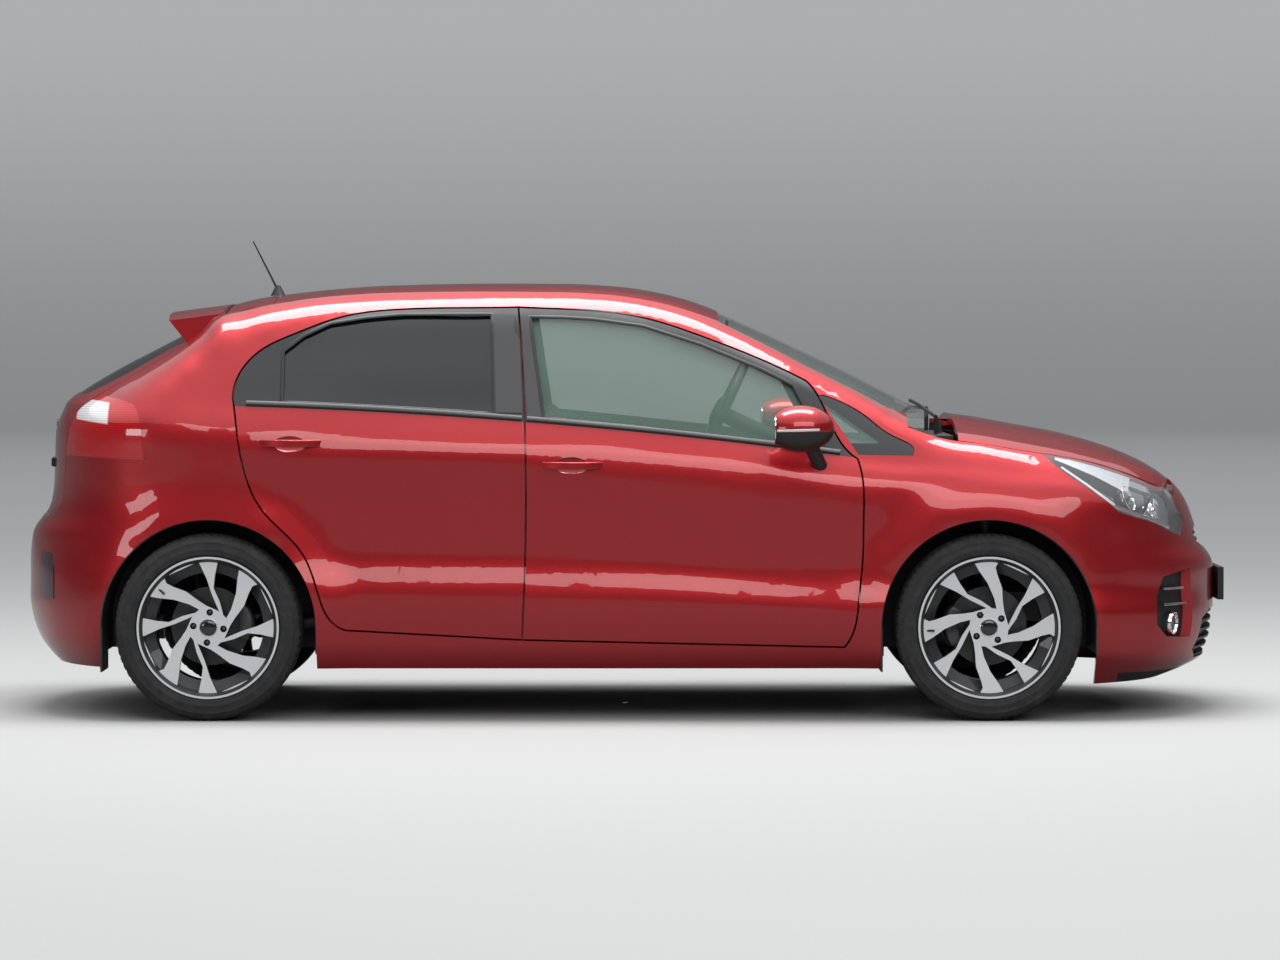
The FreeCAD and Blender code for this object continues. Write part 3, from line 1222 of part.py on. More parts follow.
def front_seats():
    return Part.makeCompound([seat(across(-0.4142)), seat(across(0.4142))])


def rear_seat():
    """The rear bench with its leaning back and two head rests."""
    cushion = cushioned(along(0.1984), along(0.3774), across(0.7001), up(0.2353), up(0.3391),
                        across(0.0583))
    base = box(along(0.2062), along(0.358), across(-0.6534), across(0.6534),
               mm.floor_level + mm.floor_wall, up(0.2491))
    back = cushioned(across(-0.07), across(0.07), across(0.7001), 0, up(0.4014), across(0.0583))
    back = back.fuse([cushioned(across(-0.0467), across(0.0467), across(0.14), up(0.3875),
                                up(0.4844), across(0.035), y)
                      for y in (across(-0.4317), across(0.4317))])
    back.rotate(Vector(0, 0, 0), LEFT, -22)
    back.translate(Vector(along(0.2023), 0, up(0.2907)))
    return cushion.fuse([base, back])


def dashboard():
    """Dashboard with its console, steering column and wheel, and the interior mirror."""
    section = [(along(0.751), up(0.4429)), (along(0.7665), up(0.3875)), (along(0.8599), up(0.3875)),
               (along(0.8599), up(0.6159)),
               (along(0.8288), up(0.6263)), (along(0.7821), up(0.6159)), (along(0.7568), up(0.5744))]
    top = prism_y(polygon([Vector(x, 0, z) for x, z in section]), across(-0.7468), across(0.7468))
    console = box(along(0.5097), along(0.7665), across(-0.1109), across(0.1109),
                  mm.floor_level + mm.floor_wall, up(0.3599))
    riser = box(along(0.7432), along(0.7821), across(-0.1109), across(0.1109),
                mm.floor_level + mm.floor_wall, up(0.4152))
    hub = Vector(along(0.6642), across(0.4317), up(0.6865))
    way = Vector(-0.903, 0, 0.429)
    column = rod(across(0.0327), hub, hub - way * across(0.3501))
    wheel = Part.makeTorus(across(0.2159), across(0.0187), hub, way)
    boss = rod(across(0.07), hub - way * across(0.0233), hub + way * across(0.0233))
    spokes = [rod(across(0.0163), hub, hub + LEFT * across(0.2042)), rod(across(0.0163), hub,
            hub - LEFT * across(0.2042))]
    glass = cushioned(along(0.6615), along(0.6693), across(0.14), up(0.8408), up(0.8824),
                      across(0.0093))
    stalk_end = Vector(along(0.67), 0, up(0.9121))
    stalk = rod(across(0.007), Vector(along(0.6654), 0, up(0.872)), stalk_end)
    body = top.fuse([console, riser, column, wheel, boss] + spokes)
    return Part.makeCompound([largest(body), glass.fuse(stalk)])


def fuel_lid_place():
    x = along(-0.03)
    z = up(0.585)
    return Vector(x, side_reach(x, z), z)


def flap_block(gap, low, high):
    """A round-cornered block across the flap's place, larger than the flap by a gap."""
    place, half = fuel_lid_place(), mm.lid_half + gap
    shape = box(place.x - half, place.x + half, low, high, place.z - half, place.z + half)
    edges = [e for e in shape.Edges if abs(e.tangentAt(e.FirstParameter).y) > 0.5]
    return shape.makeFillet(mm.lid_corner + gap, edges)


def fuel_zone(depth):
    """The flap's region of the left flank, down to a depth below its skin."""
    place = fuel_lid_place()
    region = [[(Vector(x, 0, z), Vector(0, 1, 0))
               for z in spread(place.z - mm.wall, place.z + mm.wall, mm.lid_half)]
              for x in spread(place.x - mm.wall, place.x + mm.wall, mm.lid_half)]
    return flap_block(0, 0, 2 * mm.half_width).common(wrap(region, depth))


def fuel_pocket():
    """The recess behind the flap, open to the outside."""
    skin = fuel_lid_place().y
    return flap_block(mm.lid_gap, skin - mm.lid_pocket, skin + mm.lid_pocket)


def fuel_hinge(flap):
    """The flap with its lug, and the pin and swan-neck arms in its pocket."""
    place = fuel_lid_place()
    pin = Vector(place.x + mm.lid_half - across(0.0187), 0, place.z)
    pin.y = side_reach(pin.x, pin.z) - mm.lid_wall - across(0.0064)
    lug = box(pin.x - across(0.007), pin.x + across(0.007), pin.y - across(0.007),
              pin.y + across(0.0064) + mm.lid_wall / 2,
              pin.z - across(0.0093), pin.z + across(0.0093))
    flap = flap.fuse(lug).cut(rod(across(0.0026), pin - UP * across(0.0152), pin + UP * across(0.0152)))
    fixed = rod(across(0.0023), pin - UP * across(0.0152), pin + UP * across(0.0152))
    for side in (-1, 1):
        low, high = sorted((pin.z + side * across(0.0105), pin.z + side * across(0.0152)))
        fixed = fixed.fuse(box(pin.x - across(0.0025), pin.x + across(0.0025),
                               pin.y - across(0.0315), pin.y + across(0.0025), low, high))
        wall = place.x + mm.lid_half + mm.lid_gap
        fixed = fixed.fuse(box(pin.x - across(0.0025), wall + across(0.0047),
                               pin.y - across(0.0315), pin.y - across(0.0245), low, high))
    return flap, fixed


def mirror_shell(door):
    """The right door mirror's housing and stem, seated on the door's skin."""
    centre = Vector(along(0.7568), across(-1.0793), up(0.6678))
    oval = Part.Ellipse(centre + AHEAD * across(0.1307), centre + UP * across(0.0887), centre)
    half = Part.Arc(oval, 0, math.pi).toShape()
    flat = Part.LineSegment(half.Vertexes[1].Point, half.Vertexes[0].Point).toShape()
    face = Part.Face(Part.Wire([half, flat]))
    egg = face.revolve(centre, AHEAD, 360)
    egg = egg.cut(box(along(0.6498), along(0.7245), across(-1.2835), across(-0.8168), up(0.5536),
                      up(0.7612)))
    stem = rod(across(0.028), Vector(along(0.786), across(-0.9335), up(0.573)),
               Vector(along(0.7665), across(-1.0502), up(0.6436)))
    return largest(egg.fuse(stem).cut(door))


def antenna():
    """The roof antenna's foot and mast."""
    base = top_point_at(along(0.0681), 0)
    foot = primitive("Cone", "antenna_foot", base, Radius1=sized(foot_radius=1),
                     Radius2=sized(foot_radius=0.3), Height=sized(foot_high=1))
    mast = primitive("Cone", "antenna_mast", base + UP * (mm.foot_high / 2),
                     Rotation(UP, Vector(-0.45, 0, 0.893)), Radius1=sized(mast_radius=1),
                     Radius2=sized(mast_radius=0.6), Height=sized(mast_long=1))
    joined = doc.addObject("Part::Fuse", "foot_and_mast")
    joined.Base, joined.Tool = foot, mast
    seated = doc.addObject("Part::Cut", "antenna")
    seated.Base, seated.Tool = joined, made["roof_panel"]
    return keep("antenna", seated)


def wipers():
    """The two windscreen wipers on their spindles."""
    pieces = []
    for y in (across(-0.4901), across(0.21)):
        a = top_point_at(along(0.9405), y) + UP * across(0.0058)
        b = top_point_at(along(0.9222), y + across(0.28)) + UP * across(0.0105)
        c = top_point_at(along(0.9163), y + across(0.5601)) + UP * across(0.0105)
        spindle = rod(across(0.0082), Vector(a.x, a.y, up(0.6471)), a)
        pieces.append(spindle.fuse([rod(across(0.007), a, b), rod(across(0.007), b, c)]))
    return Part.makeCompound(pieces)


def top_point_at(x, y):
    """A point on the body's top surface."""
    return meet(Vector(x, y, up(mid_share) / 2), UP, 2 * mm.body_height)


def exhaust():
    """Silencer and tail pipe under the boot floor."""
    can_start, turn = Vector(along(-0.7669), across(0.3851), up(0.1834)), Vector(along(-0.4962),
            across(0.4807), up(0.173))
    link = Vector(along(-0.4962), across(0.3851), up(0.1834))
    can = primitive("Cylinder", "silencer", can_start, Rotation(UP, AHEAD),
                    Radius=sized(can_radius=1), Height=sized(can_long=1))
    neck = primitive("Cylinder", "neck", turn, Rotation(UP, link - turn),
                     Radius=sized(pipe_radius=1), Height=sized(can_radius=1.55))
    pipe = primitive("Cylinder", "tail_pipe", turn, Rotation(UP, Vector(-1, 0, -0.053)),
                     Radius=sized(pipe_radius=1), Height=sized(pipe_long=1))
    hanger = primitive("Box", "hanger", Vector(along(-0.5865), across(0.3734), up(0.1834)),
                       Length=sized(can_radius=0.3),
                       Width=sized(can_radius=0.3), Height=sized(can_radius=1))
    joined = doc.addObject("Part::MultiFuse", "exhaust")
    joined.Shapes = [can, neck, pipe, hanger]
    return keep("exhaust", joined)


def pipe_room():
    """The opening that the tail pipe passes out through."""
    start = Vector(along(-0.4962), across(0.4807), up(0.173))
    return rod(mm.pipe_radius + mm.panel_gap, start, start + Vector(-1, 0, -0.053) * mm.half_width)


def rear_wiper():
    """The rear wiper's spindle cap on the tailgate."""
    start = meet(Vector(along(-0.1955), 0, up(0.6644)), -AHEAD, mm.half_width) - AHEAD * mm.seat_gap
    return rod(across(0.021), start, start - AHEAD * across(0.0163))


rebate = screen_rebate()
ring = largest(body_sides().cut(rebate))
roof = roof_panel()
hinge_arms, hatch_cuts = tailgate_hinges(roof)
door_lines = {"front": (front_door_line, window_front), "rear": (rear_door_line, window_rear)}
door_pins = {"front": (along(0.8226), across(-0.972), door_tilt), "rear": (along(0.3872),
        across(-0.9697), 0)}
handle_places = {"front": (along(0.4661), up(0.5827)), "rear": (along(0.1058), up(0.6332))}
doors_right = {}
for place, (line, window) in door_lines.items():
    x, y, tilt = door_pins[place]
    fixed, cuts = door_hinge(x, y, tilt, (up(0.2491), up(0.4948)), ring)
    panel = door_panel(line, window)
    for cut in cuts:
        panel = panel.cut(cut)
    panel = pull_handle(largest(panel), *handle_places[place])
    doors_right[place] = (panel, door_glass(line, window))
    hinge_arms += fixed + [mirrored(arm) for arm in fixed]
left_ring = mirrored(ring).cut(fuel_pocket())
add("body_sides", Part.makeCompound([ring, largest(left_ring)]))
flap, flap_pin = fuel_hinge(fuel_zone(mm.lid_wall))
add("fixed_glass", fixed_glass())
add("fuel_lid", largest(flap))
add("hinges", Part.makeCompound(hinge_arms + [largest(flap_pin.cut(left_ring))]))
add("roof_panel", roof)
for place, letter in (("front", "f"), ("rear", "r")):
    panel, pane = doors_right[place]
    add("door_panel_%sr" % letter, panel)
    add("door_panel_%sl" % letter, mirrored(panel))
    add("door_glass_%sr" % letter, pane)
    add("door_glass_%sl" % letter, mirrored(pane))
wings = [largest(wing.cut(rebate)) for wing in front_fenders().Solids]
add("front_fenders", Part.makeCompound(wings))
nose_skin = front_bumper()
add("front_bumper", nose_skin)
tail_pair = tail_lamps()
tail_skin = largest(rear_bumper().cut(pipe_room()))
add("rear_bumper", tail_skin)
add("bonnet", bonnet().fuse([bonnet_lug(-1), bonnet_lug(1)]))
hatch = tailgate_panel()
wing = spoiler().cut(hatch)
for cut in hatch_cuts:
    hatch, wing = hatch.cut(cut), wing.cut(cut)
hatch = largest(hatch)
add("tailgate_panel", hatch)
add("tailgate_glass", tailgate_glass())
add("spoiler", largest(wing))
add("headlamps", head_lamps())
add("tail_lamps", tail_pair)
for name, axle, side in (("fr", FRONT_AXLE, -1), ("fl", FRONT_AXLE, 1), ("rr", REAR_AXLE, -1),
                         ("rl", REAR_AXLE, 1)):
    tyre("tyre_" + name, axle, side)
    add("rim_" + name, at_wheel(rim(41 if axle > 0 else 0), axle, side))
right_knuckle = knuckle()
add("knuckle_right", right_knuckle)
add("knuckle_left", mirrored(right_knuckle))
floor = largest(floor_pan(ring).cut(tail_skin))
axle_beam = largest(rear_axle().cut(floor))
add("wheel_liners", wheel_liners().cut(axle_beam))
add("front_subframe", largest(front_subframe().cut(nose_skin)))
add("rear_axle", axle_beam)
add("floor_pan", floor)
add("firewall", firewall(ring))
engine_block()
add("front_seats", front_seats())
add("rear_seat", rear_seat())
add("dashboard", dashboard())
right_mirror = mirror_shell(doors_right["front"][0])
add("mirror_right", right_mirror)
add("mirror_left", mirrored(right_mirror))
antenna()
add("wipers", wipers())
exhaust()
add("grilles", grilles())
add("rear_wiper", largest(rear_wiper().cut(hatch)))

doc.recompute()
os.makedirs("parts", exist_ok=True)
for label, piece in made.items():
    if piece.Shape.isNull() or not piece.Shape.isValid() or {"Invalid", "Error"} & set(piece.State):
        raise RuntimeError("%s did not come out as a sound solid" % label)
    piece.Shape.exportStep("parts/%s.step" % label)
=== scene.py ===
"""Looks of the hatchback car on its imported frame: paint, glass, lamps, cabin, trims and tread."""
import math

import bmesh
import bpy
from mathutils import Matrix, Vector
from mathutils.bvhtree import BVHTree


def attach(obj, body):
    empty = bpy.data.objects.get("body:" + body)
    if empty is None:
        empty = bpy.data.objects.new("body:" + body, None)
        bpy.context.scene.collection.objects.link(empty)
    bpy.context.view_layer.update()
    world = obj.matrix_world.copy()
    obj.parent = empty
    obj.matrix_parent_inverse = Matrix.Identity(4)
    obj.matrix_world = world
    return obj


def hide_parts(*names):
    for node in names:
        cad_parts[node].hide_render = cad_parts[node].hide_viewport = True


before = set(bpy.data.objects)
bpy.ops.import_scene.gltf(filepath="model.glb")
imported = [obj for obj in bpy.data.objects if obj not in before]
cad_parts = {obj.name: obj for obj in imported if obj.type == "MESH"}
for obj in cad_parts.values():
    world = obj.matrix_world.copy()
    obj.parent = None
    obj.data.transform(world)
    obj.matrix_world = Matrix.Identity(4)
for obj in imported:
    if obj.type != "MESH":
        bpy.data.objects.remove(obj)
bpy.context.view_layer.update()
scene = bpy.context.scene


# The lower window line's height along the car: at x = 0, per metre, per square metre
BELT = (0.9792, -0.0968, -0.02615)
DEEP_RED = (0.30, 0.0006, 0.0045)
BRIGHT_RED = (0.50, 0.003, 0.009)
TRIM_BLACK = (0.012, 0.012, 0.013)
GREEN_TINT = (0.22, 0.34, 0.29)
SCREEN_ALPHA = 0.26


# shader helpers
class Nodes:
    """A material's node tree, with short calls for the maths between sockets."""

    def __init__(self, name):
        self.material = bpy.data.materials.new(name)
        self.material.use_nodes = True
        self.tree = self.material.node_tree
        self.tree.nodes.clear()
        self.out = self.add("ShaderNodeOutputMaterial")
        self.bsdf = self.add("ShaderNodeBsdfPrincipled")
        self.link(self.bsdf.outputs[0], self.out.inputs[0])
        coords = self.add("ShaderNodeTexCoord")
        self.place = coords.outputs["Object"]
        split = self.add("ShaderNodeSeparateXYZ")
        self.link(self.place, split.inputs[0])
        self.x, self.y, self.z = split.outputs

    def normal(self, axis):
        """How far the face leans along an axis (0, 1 or 2)."""
        coords = self.add("ShaderNodeTexCoord")
        split = self.add("ShaderNodeSeparateXYZ")
        self.link(coords.outputs["Normal"], split.inputs[0])
        return split.outputs[axis]

    def add(self, kind, **settings):
        node = self.tree.nodes.new(kind)
        for key, value in settings.items():
            setattr(node, key, value)
        return node

    def link(self, source, target):
        if hasattr(source, "is_output"):
            self.tree.links.new(source, target)
        else:
            target.default_value = source

    def maths(self, operation, *values, clamp=False):
        node = self.add("ShaderNodeMath", operation=operation, use_clamp=clamp)
        for socket, value in zip(node.inputs, values):
            self.link(value, socket)
        return node.outputs[0]

    def step(self, value, low, high):
        """0 below low, 1 above high, smooth between."""
        node = self.add("ShaderNodeMapRange", interpolation_type="SMOOTHSTEP")
        for name, v in (("Value", value), ("From Min", low), ("From Max", high)):
            self.link(v, node.inputs[name])
        return node.outputs[0]

    def band(self, value, low, high, soft=0.002):
        """1 between low and high."""
        return self.maths("MULTIPLY", self.step(value, low - soft, low + soft),
                          self.maths("SUBTRACT", 1.0, self.step(value, high - soft, high + soft)))

    def noise(self, scale, detail=3.0, rough=0.5, stretch=None):
        node = self.add("ShaderNodeTexNoise")
        place = self.place
        if stretch:
            mapping = self.add("ShaderNodeMapping")
            mapping.inputs["Scale"].default_value = stretch
            self.link(place, mapping.inputs[0])
            place = mapping.outputs[0]
        self.link(place, node.inputs["Vector"])
        node.inputs["Scale"].default_value = scale
        node.inputs["Detail"].default_value = detail
        node.inputs["Roughness"].default_value = rough
        return node.outputs[0]

    def mix(self, factor, one, two):
        node = self.add("ShaderNodeMix", data_type="RGBA")
        self.link(factor, node.inputs[0])
        for socket, value in ((node.inputs[6], one), (node.inputs[7], two)):
            if isinstance(value, (tuple, list)):
                value = tuple(value[:3]) + (1.0,)
            self.link(value, socket)
        return node.outputs[2]

    def blend(self, factor, one, two):
        node = self.add("ShaderNodeMix", data_type="FLOAT")
        self.link(factor, node.inputs[0])
        self.link(one, node.inputs[2])
        self.link(two, node.inputs[3])
        return node.outputs[0]

    def bump(self, height, distance):
        node = self.add("ShaderNodeBump")
        node.inputs["Distance"].default_value = distance
        node.inputs["Strength"].default_value = 1.0
        self.link(height, node.inputs["Height"])
        self.link(node.outputs[0], self.bsdf.inputs["Normal"])

    def set(self, **values):
        names = {"color": "Base Color", "rough": "Roughness", "metal": "Metallic",
                 "coat": "Coat Weight", "alpha": "Alpha"}
        for key, value in values.items():
            if isinstance(value, (tuple, list)):
                value = tuple(value[:3]) + (1.0,)
            self.link(value, self.bsdf.inputs[names[key]])
        return self


def paint(name, mask=None, other=TRIM_BLACK, other_rough=0.42):
    """Deep red metallic paint under clear lacquer; mask picks where plain trim takes over."""
    m = Nodes(name)
    flake = m.noise(1400, 2, 0.6)
    cloud = m.noise(1.8, 3)
    base = m.mix(m.step(flake, 0.35, 0.75), DEEP_RED, BRIGHT_RED)
    color = m.mix(m.maths("MULTIPLY", cloud, 0.3), base, DEEP_RED)
    rough = m.blend(flake, 0.34, 0.46)
    if mask is None:
        m.set(color=color, metal=0.62, rough=rough, coat=1.0)
    else:
        share = mask(m)
        m.set(color=m.mix(share, color, other), metal=m.blend(share, 0.62, 0.0),
              rough=m.blend(share, rough, other_rough), coat=m.blend(share, 1.0, 0.0))
    m.bsdf.inputs["Coat Roughness"].default_value = 0.03
    return m


def inside(m):
    """1 on faces that look towards the car's middle line."""
    inward = m.maths("MULTIPLY", m.normal(1), -1.0)
    return m.step(m.maths("MULTIPLY", m.maths("SIGN", m.y), inward), 0.12, 0.22)


def facing(m, axis, low, high):
    """1 on faces whose normal leans along an axis (0, 1 or 2) by more than low to high."""
    return m.step(m.normal(axis), low, high)


def above_belt(m, drop):
    """1 above the lower window line, less drop."""
    square = m.maths("MULTIPLY", m.x, m.x)
    line = m.maths("ADD", m.maths("MULTIPLY", m.x, BELT[1]), m.maths("MULTIPLY", square, BELT[2]))
    over = m.maths("SUBTRACT", m.z, m.maths("ADD", line, BELT[0] - drop))
    return m.step(over, -0.001, 0.001)


def either(m, *shares):
    """Where any of the shares holds."""
    total = shares[0]
    for share in shares[1:]:
        total = m.maths("MAXIMUM", total, share)
    return total


def both(m, *shares):
    """Where all the shares hold."""
    total = shares[0]
    for share in shares[1:]:
        total = m.maths("MULTIPLY", total, share)
    return total


def plastic(name, color, rough, grain=0.0, scale=600, coat=0.0):
    """Moulded plastic with a fine grain."""
    m = Nodes(name)
    n = m.noise(scale, 3)
    wear = m.noise(6, 4)
    dark = tuple(c * 0.8 for c in color)
    m.set(color=m.mix(wear, dark, color), rough=m.blend(n, rough * 0.85, min(1, rough * 1.15)))
    m.bsdf.inputs["Coat Weight"].default_value = coat
    if grain:
        m.bump(n, grain)
    return m


def metal(name, color, rough, bump=0.0):
    """Bare or plated metal with a faint cloud in its colour and polish."""
    m = Nodes(name)
    n = m.noise(220, 3, 0.6)
    m.set(color=m.mix(n, tuple(c * 0.82 for c in color), color), metal=1.0,
          rough=m.blend(n, rough * 0.8, rough * 1.25))
    if bump:
        m.bump(n, bump)
    return m


def clear(name, color, alpha, rough=0.02):
    """Thin glass: tinted and partly see-through, with a sharp reflection."""
    m = Nodes(name)
    dust = m.noise(9, 4)
    m.set(color=color, rough=m.blend(dust, rough, rough * 2.5), alpha=alpha)
    m.bsdf.inputs["IOR"].default_value = 1.52
    m.bsdf.inputs["Coat Weight"].default_value = 1.0
    m.bsdf.inputs["Coat Roughness"].default_value = 0.01
    return m


def screen_glass(name):
    """The windscreen's pale green glass; the quarter panes are black outside a small field."""
    m = clear(name, GREEN_TINT, SCREEN_ALPHA)
    far = m.step(m.maths("ABSOLUTE", m.y), 0.672, 0.676)
    slope = m.maths("ADD", m.z, m.maths("MULTIPLY", m.x, 0.70))
    field = both(m, m.band(m.x, 0.662, 0.838, 0.003), m.band(slope, 0.900, 1.502, 0.003),
                 m.step(m.z, 0.912, 0.916))
    black = both(m, far, m.maths("SUBTRACT", 1.0, field))
    m.set(color=m.mix(black, GREEN_TINT, (0.008, 0.008, 0.009)),
          alpha=m.blend(black, SCREEN_ALPHA, 1.0))
    return m


def rubber(name):
    """Tyre rubber: dark, with dusty patches at random and a fine bumpy grain."""
    m = Nodes(name)
    dust = m.noise(30, 5, 0.65)
    fine = m.noise(700, 3)
    m.set(color=m.mix(m.step(dust, 0.35, 0.8), (0.012, 0.012, 0.0125), (0.034, 0.033, 0.031)),
          rough=m.blend(dust, 0.66, 0.90))
    m.bump(fine, 0.0004)
    return m


def cloth(name, dark, light, size=0.0032):
    """Woven upholstery: crossing threads, with a soft worn mottling."""
    m = Nodes(name)
    waves = []
    for way in (m.x, m.y, m.z):
        waves.append(m.maths("SINE", m.maths("MULTIPLY", way, math.tau / size)))
    weave = m.maths("MULTIPLY", waves[1], m.maths("ADD", waves[0], waves[2]))
    weave = m.step(weave, -1.4, 1.4)
    mottle = m.noise(14, 4)
    m.set(color=m.mix(m.maths("MULTIPLY", weave, m.blend(mottle, 0.6, 1.0)), dark, light),
          rough=m.blend(mottle, 0.85, 0.97))
    m.bump(weave, 0.0006)
    return m


def wheel_metal(name):
    """Alloy wheel: machined outer faces, dark painted pockets and barrel."""
    m = Nodes(name)
    outward = m.step(m.maths("ABSOLUTE", m.normal(1)), 0.80, 0.90)
    outer = m.step(m.maths("ABSOLUTE", m.y), 0.806, 0.812)
    face = m.maths("MULTIPLY", outward, outer)
    brushed = m.noise(160, 3, 0.6, (1, 1, 9))
    bright = m.mix(brushed, (0.70, 0.71, 0.73), (0.88, 0.89, 0.91))
    grit = m.noise(40, 4)
    dull = m.mix(grit, (0.020, 0.020, 0.022), (0.050, 0.050, 0.053))
    m.set(color=m.mix(face, dull, bright), metal=m.blend(face, 0.35, 0.60),
          rough=m.blend(face, 0.48, 0.34))
    m.bsdf.inputs["Coat Weight"].default_value = 0.5
    return m


def tail_lamp(name):
    """Red lamp plastic with a pale clear field in its upper inner part."""
    m = Nodes(name)
    lean = m.maths("ADD", m.z, m.maths("MULTIPLY", m.x, 0.12))
    pale = both(m, m.band(m.x, -1.825, -1.705, 0.004), m.band(lean, 0.772, 0.842, 0.003))
    ribs = m.maths("ABSOLUTE", m.maths("SINE", m.maths("MULTIPLY", m.z, 420)))
    red = m.mix(ribs, (0.30, 0.002, 0.004), (0.52, 0.006, 0.010))
    white = m.mix(ribs, (0.48, 0.46, 0.46), (0.80, 0.78, 0.78))
    m.set(color=m.mix(pale, red, white), rough=m.blend(m.noise(60, 3), 0.06, 0.12), coat=1.0)
    return m


def put(node, material):
    """Gives a CAD node one material."""
    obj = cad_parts[node]
    obj.data.materials.clear()
    obj.data.materials.append(material.material)


RED = paint("red_paint")
BLACK = plastic("satin_black", TRIM_BLACK, 0.42)
SATIN = plastic("satin_grey_trim", (0.045, 0.045, 0.048), 0.38)
GLOSS = plastic("gloss_black", (0.008, 0.008, 0.009), 0.12, coat=1.0)
GRAIN = plastic("grained_black", (0.020, 0.020, 0.021), 0.62, 0.0004)
LEATHER = plastic("wrapped_leather", (0.016, 0.016, 0.017), 0.52, 0.0006, 420)
GREEN_GLASS = clear("light_glass", (0.22, 0.36, 0.29), 0.20)
SCREEN_GLASS = screen_glass("screen_glass")
DARK_GLASS = clear("privacy_glass", (0.006, 0.007, 0.007), 0.86)
LENS = clear("lamp_lens", (0.75, 0.78, 0.80), 0.13)
MIRROR = metal("mirror_face", (0.80, 0.82, 0.84), 0.02)
INDICATOR = clear("indicator_lens", (0.85, 0.86, 0.86), 0.75, 0.08)
ALLOY = metal("machined_alloy", (0.72, 0.73, 0.75), 0.26)
WHEEL = wheel_metal("alloy_wheel")
STEEL = metal("chassis_steel", (0.12, 0.12, 0.125), 0.5, bump=0.0003)
CAST = metal("cast_metal", (0.36, 0.36, 0.37), 0.6, bump=0.0006)
CHROME = metal("chrome", (0.86, 0.87, 0.89), 0.06)
EXHAUST = metal("exhaust_steel", (0.42, 0.40, 0.37), 0.38)
TYRE = rubber("tyre_rubber")
CLOTH = cloth("seat_cloth", (0.012, 0.012, 0.014), (0.042, 0.042, 0.046))
CARPET = cloth("carpet", (0.014, 0.014, 0.015), (0.034, 0.034, 0.035), 0.0045)
REFLECTOR = plastic("rear_reflector", (0.055, 0.004, 0.006), 0.16, coat=1.0)
TAIL_RED = tail_lamp("tail_lamp_red")
# Painted panels with plain or lined faces on their inner side
DOOR = paint("door_paint", lambda m: either(m, inside(m), above_belt(m, 0.024)),
             (0.018, 0.018, 0.019), 0.40)
SHELL = paint("shell_paint", inside, (0.030, 0.030, 0.031), 0.75)
ROOF = paint("roof_paint", lambda m: m.maths("SUBTRACT", 1.0, facing(m, 2, -0.5, -0.3)),
             (0.36, 0.36, 0.35), 0.92)
GATE = paint("gate_paint", lambda m: facing(m, 0, 0.25, 0.4), (0.026, 0.026, 0.027), 0.7)
CAP = paint("mirror_paint", lambda m: m.maths("SUBTRACT", 1.0, m.step(m.z, 0.9545, 0.9555)),
            TRIM_BLACK, 0.38)
NOSE = paint("nose_paint", lambda m: both(
    m, m.step(m.x, 1.634, 1.638), m.maths("SUBTRACT", 1.0, m.step(m.z, 0.149, 0.151))),
    (0.014, 0.014, 0.015), 0.5)

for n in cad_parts:
    put(n, RED)
for n, m in {"fixed_glass": SCREEN_GLASS, "door_glass_fr": GREEN_GLASS,
             "door_glass_fl": GREEN_GLASS, "door_glass_rr": DARK_GLASS,
             "door_glass_rl": DARK_GLASS, "tailgate_glass": DARK_GLASS, "headlamps": LENS,
             "tail_lamps": TAIL_RED, "dashboard": GRAIN, "wheel_liners": GRAIN, "wipers": BLACK,
             "antenna": BLACK, "grilles": BLACK, "rear_wiper": BLACK, "front_subframe": STEEL,
             "rear_axle": STEEL, "knuckle_left": STEEL, "knuckle_right": STEEL,
             "engine_block": CAST, "floor_pan": CARPET, "firewall": GRAIN, "front_seats": CLOTH,
             "rear_seat": CLOTH, "exhaust": EXHAUST, "hinges": STEEL, "body_sides": SHELL,
             "roof_panel": ROOF, "tailgate_panel": GATE, "mirror_right": CAP,
             "mirror_left": CAP, "front_bumper": NOSE}.items():
    put(n, m)
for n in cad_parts:
    if n.startswith("tyre_"):
        put(n, TYRE)
    elif n.startswith("rim_"):
        put(n, WHEEL)
    elif n.startswith("door_panel_"):
        put(n, DOOR)

# shapes on the car's skin
def tree_of(*names):
    """A ray-casting tree of CAD nodes as they stand at rest."""
    points, faces = [], []
    for name in names:
        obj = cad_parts[name]
        start = len(points)
        points += [obj.matrix_world @ v.co for v in obj.data.vertices]
        faces += [[start + i for i in p.vertices] for p in obj.data.polygons]
    return BVHTree.FromPolygons(points, faces)


def strike(tree, start, way):
    """Where a ray meets the tree and the surface's outward normal there, or nothing."""
    place, normal, _, _ = tree.ray_cast(Vector(start), Vector(way).normalized())
    if place is None:
        return None
    if normal.dot(Vector(way)) > 0:
        normal = -normal
    return place, normal


def from_side(tree, x, z, side):
    """The skin's point and normal at a place seen from the car's right (side -1) or left."""
    return strike(tree, (x, side * 1.3, z), (0, -side, 0))


def from_end(tree, y, z, end):
    """The skin seen from ahead (end 1) or behind (end -1)."""
    return strike(tree, (end * 2.6, y, z), (-end, 0, 0))


def gather(strikes, out=0.0):
    """Points and normals of the rays that struck, the points moved out along the normals."""
    found = [hit for hit in strikes if hit]
    return [place + normal * out for place, normal in found], [normal for place, normal in found]


